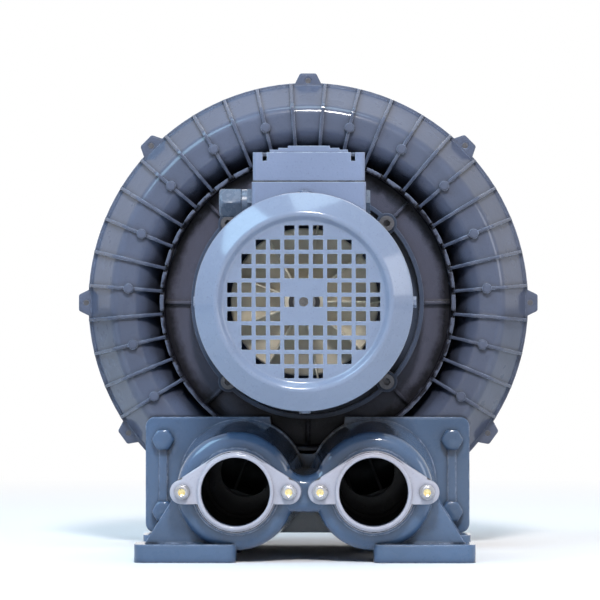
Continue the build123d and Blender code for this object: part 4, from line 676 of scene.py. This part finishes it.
silencer_blue = (0.055, 0.100, 0.185)
silencer_enamel = enamel("silencer_enamel", silencer_blue, casing_edge, roughness=0.28, edge_radius=0.0018,
                         coat=1.0, fillet=0.004)
paint_nodes(silencer_enamel, "silencer_housing")
# The steel tubes are near black, a painted shade that keeps the bores dark.
bore_shade_black = (0.004, 0.004, 0.005)
bore_shade_steel = enamel("bore_shade_steel", bore_shade_black, (0.02, 0.02, 0.022), roughness=0.42, coat=0.15)
paint_nodes(bore_shade_steel, "left_silencer_tube", "right_silencer_tube")
paint_nodes(fibre("silencer_foam", (0.030, 0.030, 0.032), scale=350.0, roughness=0.95),
            "left_silencer_liner", "right_silencer_liner")

bolt_low, bolt_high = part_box("plate_bolts")
bolt_across_flats = 0.0170
bolt_corner = bolt_across_flats / 2 / cos(pi / 6)
bolt_head = 0.0075
bolt_shank = 0.0059
bolt_inset = bolt_across_flats / 2
bolt_washer_face = 0.0087
bolt_edge = 0.001
bolt_length = bolt_high.y - bolt_low.y
bolt_seat = bolt_low.y + bolt_head
# From the shank's end to the middle of the head, whose corners are rounded off in four steps.
bolt_profile = [
    (0.0, bolt_head - bolt_length), (bolt_shank - bolt_edge, bolt_head - bolt_length),
    (bolt_shank, bolt_head - bolt_length + bolt_edge), (bolt_shank, 0.0),
    (bolt_washer_face, 0.0), (bolt_washer_face, 0.0006),
    (bolt_corner, 0.0007), (bolt_corner, bolt_head - 0.0024), (bolt_corner - 0.0004, bolt_head - 0.0016),
    (bolt_corner - 0.0009, bolt_head - 0.0009), (bolt_corner - 0.0016, bolt_head - 0.0003),
    (bolt_corner - 0.0026, bolt_head), (0.0, bolt_head - 0.0001)]
bolt_places = [(x, bolt_seat, z) for x in (bolt_low.x + bolt_corner, bolt_high.x - bolt_corner)
               for z in (bolt_low.z + bolt_inset, bolt_high.z - bolt_inset)]
plate_bolts = new_piece("plate_bolts_chamfered", [
    turned(bolt_profile, place, forwards, 48, 6, np.full(len(bolt_profile), bolt_corner))
    for place in bolt_places], silencer_enamel)
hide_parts("plate_bolts")

# ---- Port flanges ----------------------------------------------------------------------
# Two oval aluminium flanges with a raised collar, painted a silvery grey that is paler along its
# edges, each held by two zinc-plated cap screws on washers.

flange_silver = (0.36, 0.365, 0.43)
flange_edge = (0.66, 0.66, 0.72)
flange_enamel = enamel("flange_enamel", flange_silver, flange_edge, roughness=0.28, edge_radius=0.0010,
                       dust_and_shade=0.7, coat=0.5, drifts=0.08)

port_bore = 0.0280
collar_foot = 0.0334
collar_lip = 0.0311
ear_offset = 0.0433
ear_radius = 0.0100
flange_face = 0.0075
collar_face = 0.0095
collar_round = 0.0010
collar_fillet = 0.0012
flange_edge_round = 0.0012


def flange_reach(angle):
    """Distance from the port's centre to the flange's outline along each angle: the largest of the round
    collar, the two ear circles, and the straight sides that join them, tangent above and level below."""
    u, v = np.cos(angle), np.sin(angle)
    lean = asin((collar_foot - ear_radius) / ear_offset)
    limits = [(sin(lean), cos(lean), collar_foot), (-sin(lean), cos(lean), collar_foot),
              (0.0, -1.0, ear_radius), (1.0, 0.0, ear_offset), (-1.0, 0.0, ear_offset)]
    sides = np.full_like(angle, 1.0)
    for across, up, distance in limits:
        facing = across * u + up * v
        sides = np.where(facing > 1e-6, np.minimum(sides, distance / np.maximum(facing, 1e-6)), sides)
    sides = np.where((v > 0) & (np.abs(u) < sin(lean)), collar_foot, sides)
    along = np.abs(u) * ear_offset
    inside = along ** 2 - (ear_offset ** 2 - ear_radius ** 2)
    ears = np.where(inside > 0, along + np.sqrt(np.maximum(inside, 0.0)), 0.0)
    return np.maximum(np.maximum(sides, ears), collar_foot)


def flange_sheet(centre):
    """The whole skin of a flange as rings round the bore: (share of the way from collar foot to outline,
    radius at the bore side, advance) rows, with rounded lips and a fillet at the collar's foot."""
    turn = np.linspace(0.0, 2.0 * pi, 288, endpoint=False)
    reach = flange_reach(turn)
    rings = [
        (0.0, port_bore, 0.0), (0.0, port_bore, collar_face - 0.0008),
        (0.0, port_bore + 0.0003, collar_face - 0.0002),
        (0.0, port_bore + collar_round, collar_face), (0.0, collar_lip - collar_round, collar_face),
        (0.0, collar_lip - 0.0003, collar_face - 0.0003), (0.0, collar_lip, collar_face - collar_round),
        (0.0, collar_lip + 0.0004, flange_face + 0.0003), (0.0, collar_lip + collar_fillet, flange_face),
        (0.5, 0.0, flange_face), (1.0, -flange_edge_round, flange_face),
        (1.0, -0.0004, flange_face - 0.0004), (1.0, 0.0, flange_face - flange_edge_round),
        (1.0, 0.0, 0.0004), (1.0, -0.0004, 0.0), (0.0, port_bore, 0.0)]
    share = np.array([ring[0] for ring in rings])[:, None]
    base = np.array([ring[1] for ring in rings])[:, None]
    ahead = np.array([ring[2] for ring in rings])[:, None] * np.ones_like(turn)
    middle = collar_lip + collar_fillet + 0.5 * (reach - collar_lip - collar_fillet)
    radius = np.where(share == 0.0, base + 0.0 * reach, np.where(share == 1.0, reach + base, middle))
    return np.asarray(centre) + np.stack([radius * np.cos(turn), -ahead, radius * np.sin(turn)], -1)


screw_places = []
for side in ("left", "right"):
    flange_low, flange_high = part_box(side + "_port_flange")
    port_x, port_z = (flange_low.x + flange_high.x) / 2, flange_high.z - collar_foot
    flange = new_piece(side + "_oval_flange", [flange_sheet((port_x, flange_high.y, port_z))], flange_enamel,
                       crease=60.0)
    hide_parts(side + "_port_flange")
    screw_places += [(port_x - ear_offset, port_z), (port_x + ear_offset, port_z)]

# ---- Port screws and washers -----------------------------------------------------------
# Zinc-plated M6 cap screws with knurled heads; the plating is yellow in the hexagon sockets,
# where the spray gun didn't reach, and greyed by paint mist on the heads and washers.

screw_yellow = (0.80, 0.66, 0.34)
screw_grey = (0.38, 0.38, 0.41)
misted_zinc = metal("misted_zinc", screw_grey, roughness=0.30, stained=0.5)
socket_zinc = metal("socket_zinc", screw_yellow, roughness=0.26, stain=(0.6, 0.5, 0.3))

washer_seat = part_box("port_washers")[1].y
washer_bore, washer_rim, washer_sheet = 0.0032, 0.0062, 0.0012
washer_profile = [
    (washer_bore, 0.0), (0.0060, 0.0), (washer_rim, 0.0003), (washer_rim, 0.0009), (0.0060, washer_sheet),
    (0.0035, washer_sheet), (washer_bore, 0.0009), (washer_bore, 0.0)]
washers = new_piece("flange_washers", [
    turned(washer_profile, (x, washer_seat, z), forwards, 48) for x, z in screw_places], misted_zinc)
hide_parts("port_washers")

screw_low, screw_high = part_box("port_screws")
head_length = 0.0050
head_radius = 0.0052
screw_radius = 0.0030
head_turns = 96
knurl_waves = 24
knurl_depth = 0.012
screw_seat = screw_low.y + head_length
shank_end = screw_seat - screw_high.y
socket_corner = 0.0027
socket_lip = 0.0003
socket_depth = 0.0026
drill_point = 0.0034
head_profile = [
    (0.0, shank_end), (0.0024, shank_end), (screw_radius, shank_end + 0.0006), (screw_radius, 0.0),
    (0.0050, 0.0), (head_radius, 0.0002), (head_radius, head_length - 0.0007),
    (0.0050, head_length - 0.0002), (0.0046, head_length), (screw_radius, head_length)]
knurl = 1.0 + knurl_depth * np.cos(np.linspace(0.0, 2.0 * pi * knurl_waves, head_turns, endpoint=False))
knurled_rows = np.array([5, 6])


def screw_head(x, z):
    """Turned head and shank. The rows at the head's full radius are knurled: their radius is
    multiplied by 1 + depth cos(waves t)."""
    grid = turned(head_profile, (x, screw_seat, z), forwards, head_turns)
    axis_line = np.array([x, 0.0, z]) + grid[knurled_rows] * [0.0, 1.0, 0.0]
    grid[knurled_rows] = axis_line + (grid[knurled_rows] - axis_line) * knurl[None, :, None]
    return grid


socket_profile = [(screw_radius, head_length), (socket_corner, head_length - socket_lip),
                  (socket_corner, head_length - socket_depth), (0.0, head_length - drill_point)]
socket_corners = (1.0, socket_corner, socket_corner, socket_corner)
heads = new_piece("cap_screws", [screw_head(x, z) for x, z in screw_places], misted_zinc)
sockets = new_piece("cap_screw_sockets", [
    turned(socket_profile, (x, screw_seat, z), forwards, head_turns, 6, socket_corners)
    for x, z in screw_places],
    socket_zinc)
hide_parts("port_screws")
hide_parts("port_screws")

# ---- Floor, lights and surroundings ----------------------------------------------------
# A pale studio floor that turns to plain white away from the blower, five soft lamps and an
# even white surround.

floor_half = 9.0
floor_near, floor_far = 0.5, 1.6

floor_mesh = bpy.data.meshes.new("floor")
floor_mesh.from_pydata(
    [(-floor_half, -floor_half, 0), (floor_half, -floor_half, 0), (floor_half, floor_half, 0),
     (-floor_half, floor_half, 0)], [], [(0, 1, 2, 3)])
floor = bpy.data.objects.new("floor", floor_mesh)
bpy.context.scene.collection.objects.link(floor)

floor_paint = bpy.data.materials.new("floor_paint")
floor_paint.use_nodes = True
floor_shader = floor_paint.node_tree.nodes["Principled BSDF"]
floor_shader.inputs["Base Color"].default_value = (0.86, 0.86, 0.87, 1.0)
floor_shader.inputs["Roughness"].default_value = 0.8
floor_place = add_node(floor_paint, "ShaderNodeTexCoord").outputs["Object"]
floor_reach = add_node(floor_paint, "ShaderNodeVectorMath", (0, floor_place), operation="LENGTH")
seen = add_node(floor_paint, "ShaderNodeLightPath").outputs["Is Camera Ray"]
whiten = product(floor_paint, spread(floor_paint, floor_reach.outputs["Value"], floor_near, floor_far), seen)
white_glow = add_node(floor_paint, "ShaderNodeEmission", ("Strength", 1.0)).outputs[0]
floor_mix = add_node(
    floor_paint, "ShaderNodeMixShader", (0, whiten), (1, floor_shader.outputs[0]), (2, white_glow))
floor_paint.node_tree.links.new(
    floor_mix.outputs[0], floor_paint.node_tree.nodes["Material Output"].inputs["Surface"])
floor_mesh.materials.append(floor_paint)

# Place, width, power in watts and colour of each lamp.
lamps = {
    "front_softbox": ((0.15, -2.4, 2.25), 0.5, 92.0, (1.0, 0.965, 0.95)),
    "top_left_softbox": ((-1.6, -1.2, 2.2), 1.5, 50.0, (0.46, 0.76, 1.0)),
    "top_softbox": ((0.12, -0.3, 2.6), 1.1, 19.0, (0.62, 0.84, 1.0)),
    "right_softbox": ((2.6, -1.2, 1.0), 1.2, 16.0, (0.92, 0.94, 1.0)),
    "rear_softbox": ((0.3, 2.8, 2.0), 1.6, 30.0, (1.0, 1.0, 1.0)),
}
aim = Vector((0.0, 0.0, 0.2))
for name, (place, width, power, colour) in lamps.items():
    lamp = bpy.data.objects.new(name, bpy.data.lights.new(name, "AREA"))
    lamp.data.shape = "SQUARE"
    lamp.data.size = width
    lamp.data.energy = power
    lamp.data.color = colour
    lamp.location = place
    lamp.rotation_euler = (aim - Vector(place)).to_track_quat("-Z", "Y").to_euler()
    bpy.context.scene.collection.objects.link(lamp)

surround = bpy.data.worlds.new("surround")
surround.use_nodes = True
bpy.context.scene.world = surround
ambient = surround.node_tree.nodes["Background"]
ambient.inputs["Color"].default_value = (0.97, 0.95, 1.0, 1.0)
ambient.inputs["Strength"].default_value = 0.10
backdrop = add_node(surround, "ShaderNodeBackground", ("Color", (1.0, 1.0, 1.0, 1.0)), ("Strength", 1.0))
rays = add_node(surround, "ShaderNodeLightPath").outputs
shows = add_node(surround, "ShaderNodeMath", (0, rays["Is Camera Ray"]), (1, rays["Is Transmission Ray"]),
                 operation="MAXIMUM").outputs[0]
shows = add_node(surround, "ShaderNodeMath", (0, shows), (1, rays["Is Glossy Ray"]),
                 operation="MAXIMUM").outputs[0]
blended = add_node(surround, "ShaderNodeMixShader", (0, shows), (1, ambient.outputs[0]),
                   (2, backdrop.outputs[0]))
surround.node_tree.links.new(
    blended.outputs[0], surround.node_tree.nodes["World Output"].inputs["Surface"])

bpy.context.scene.view_settings.view_transform = "Standard"
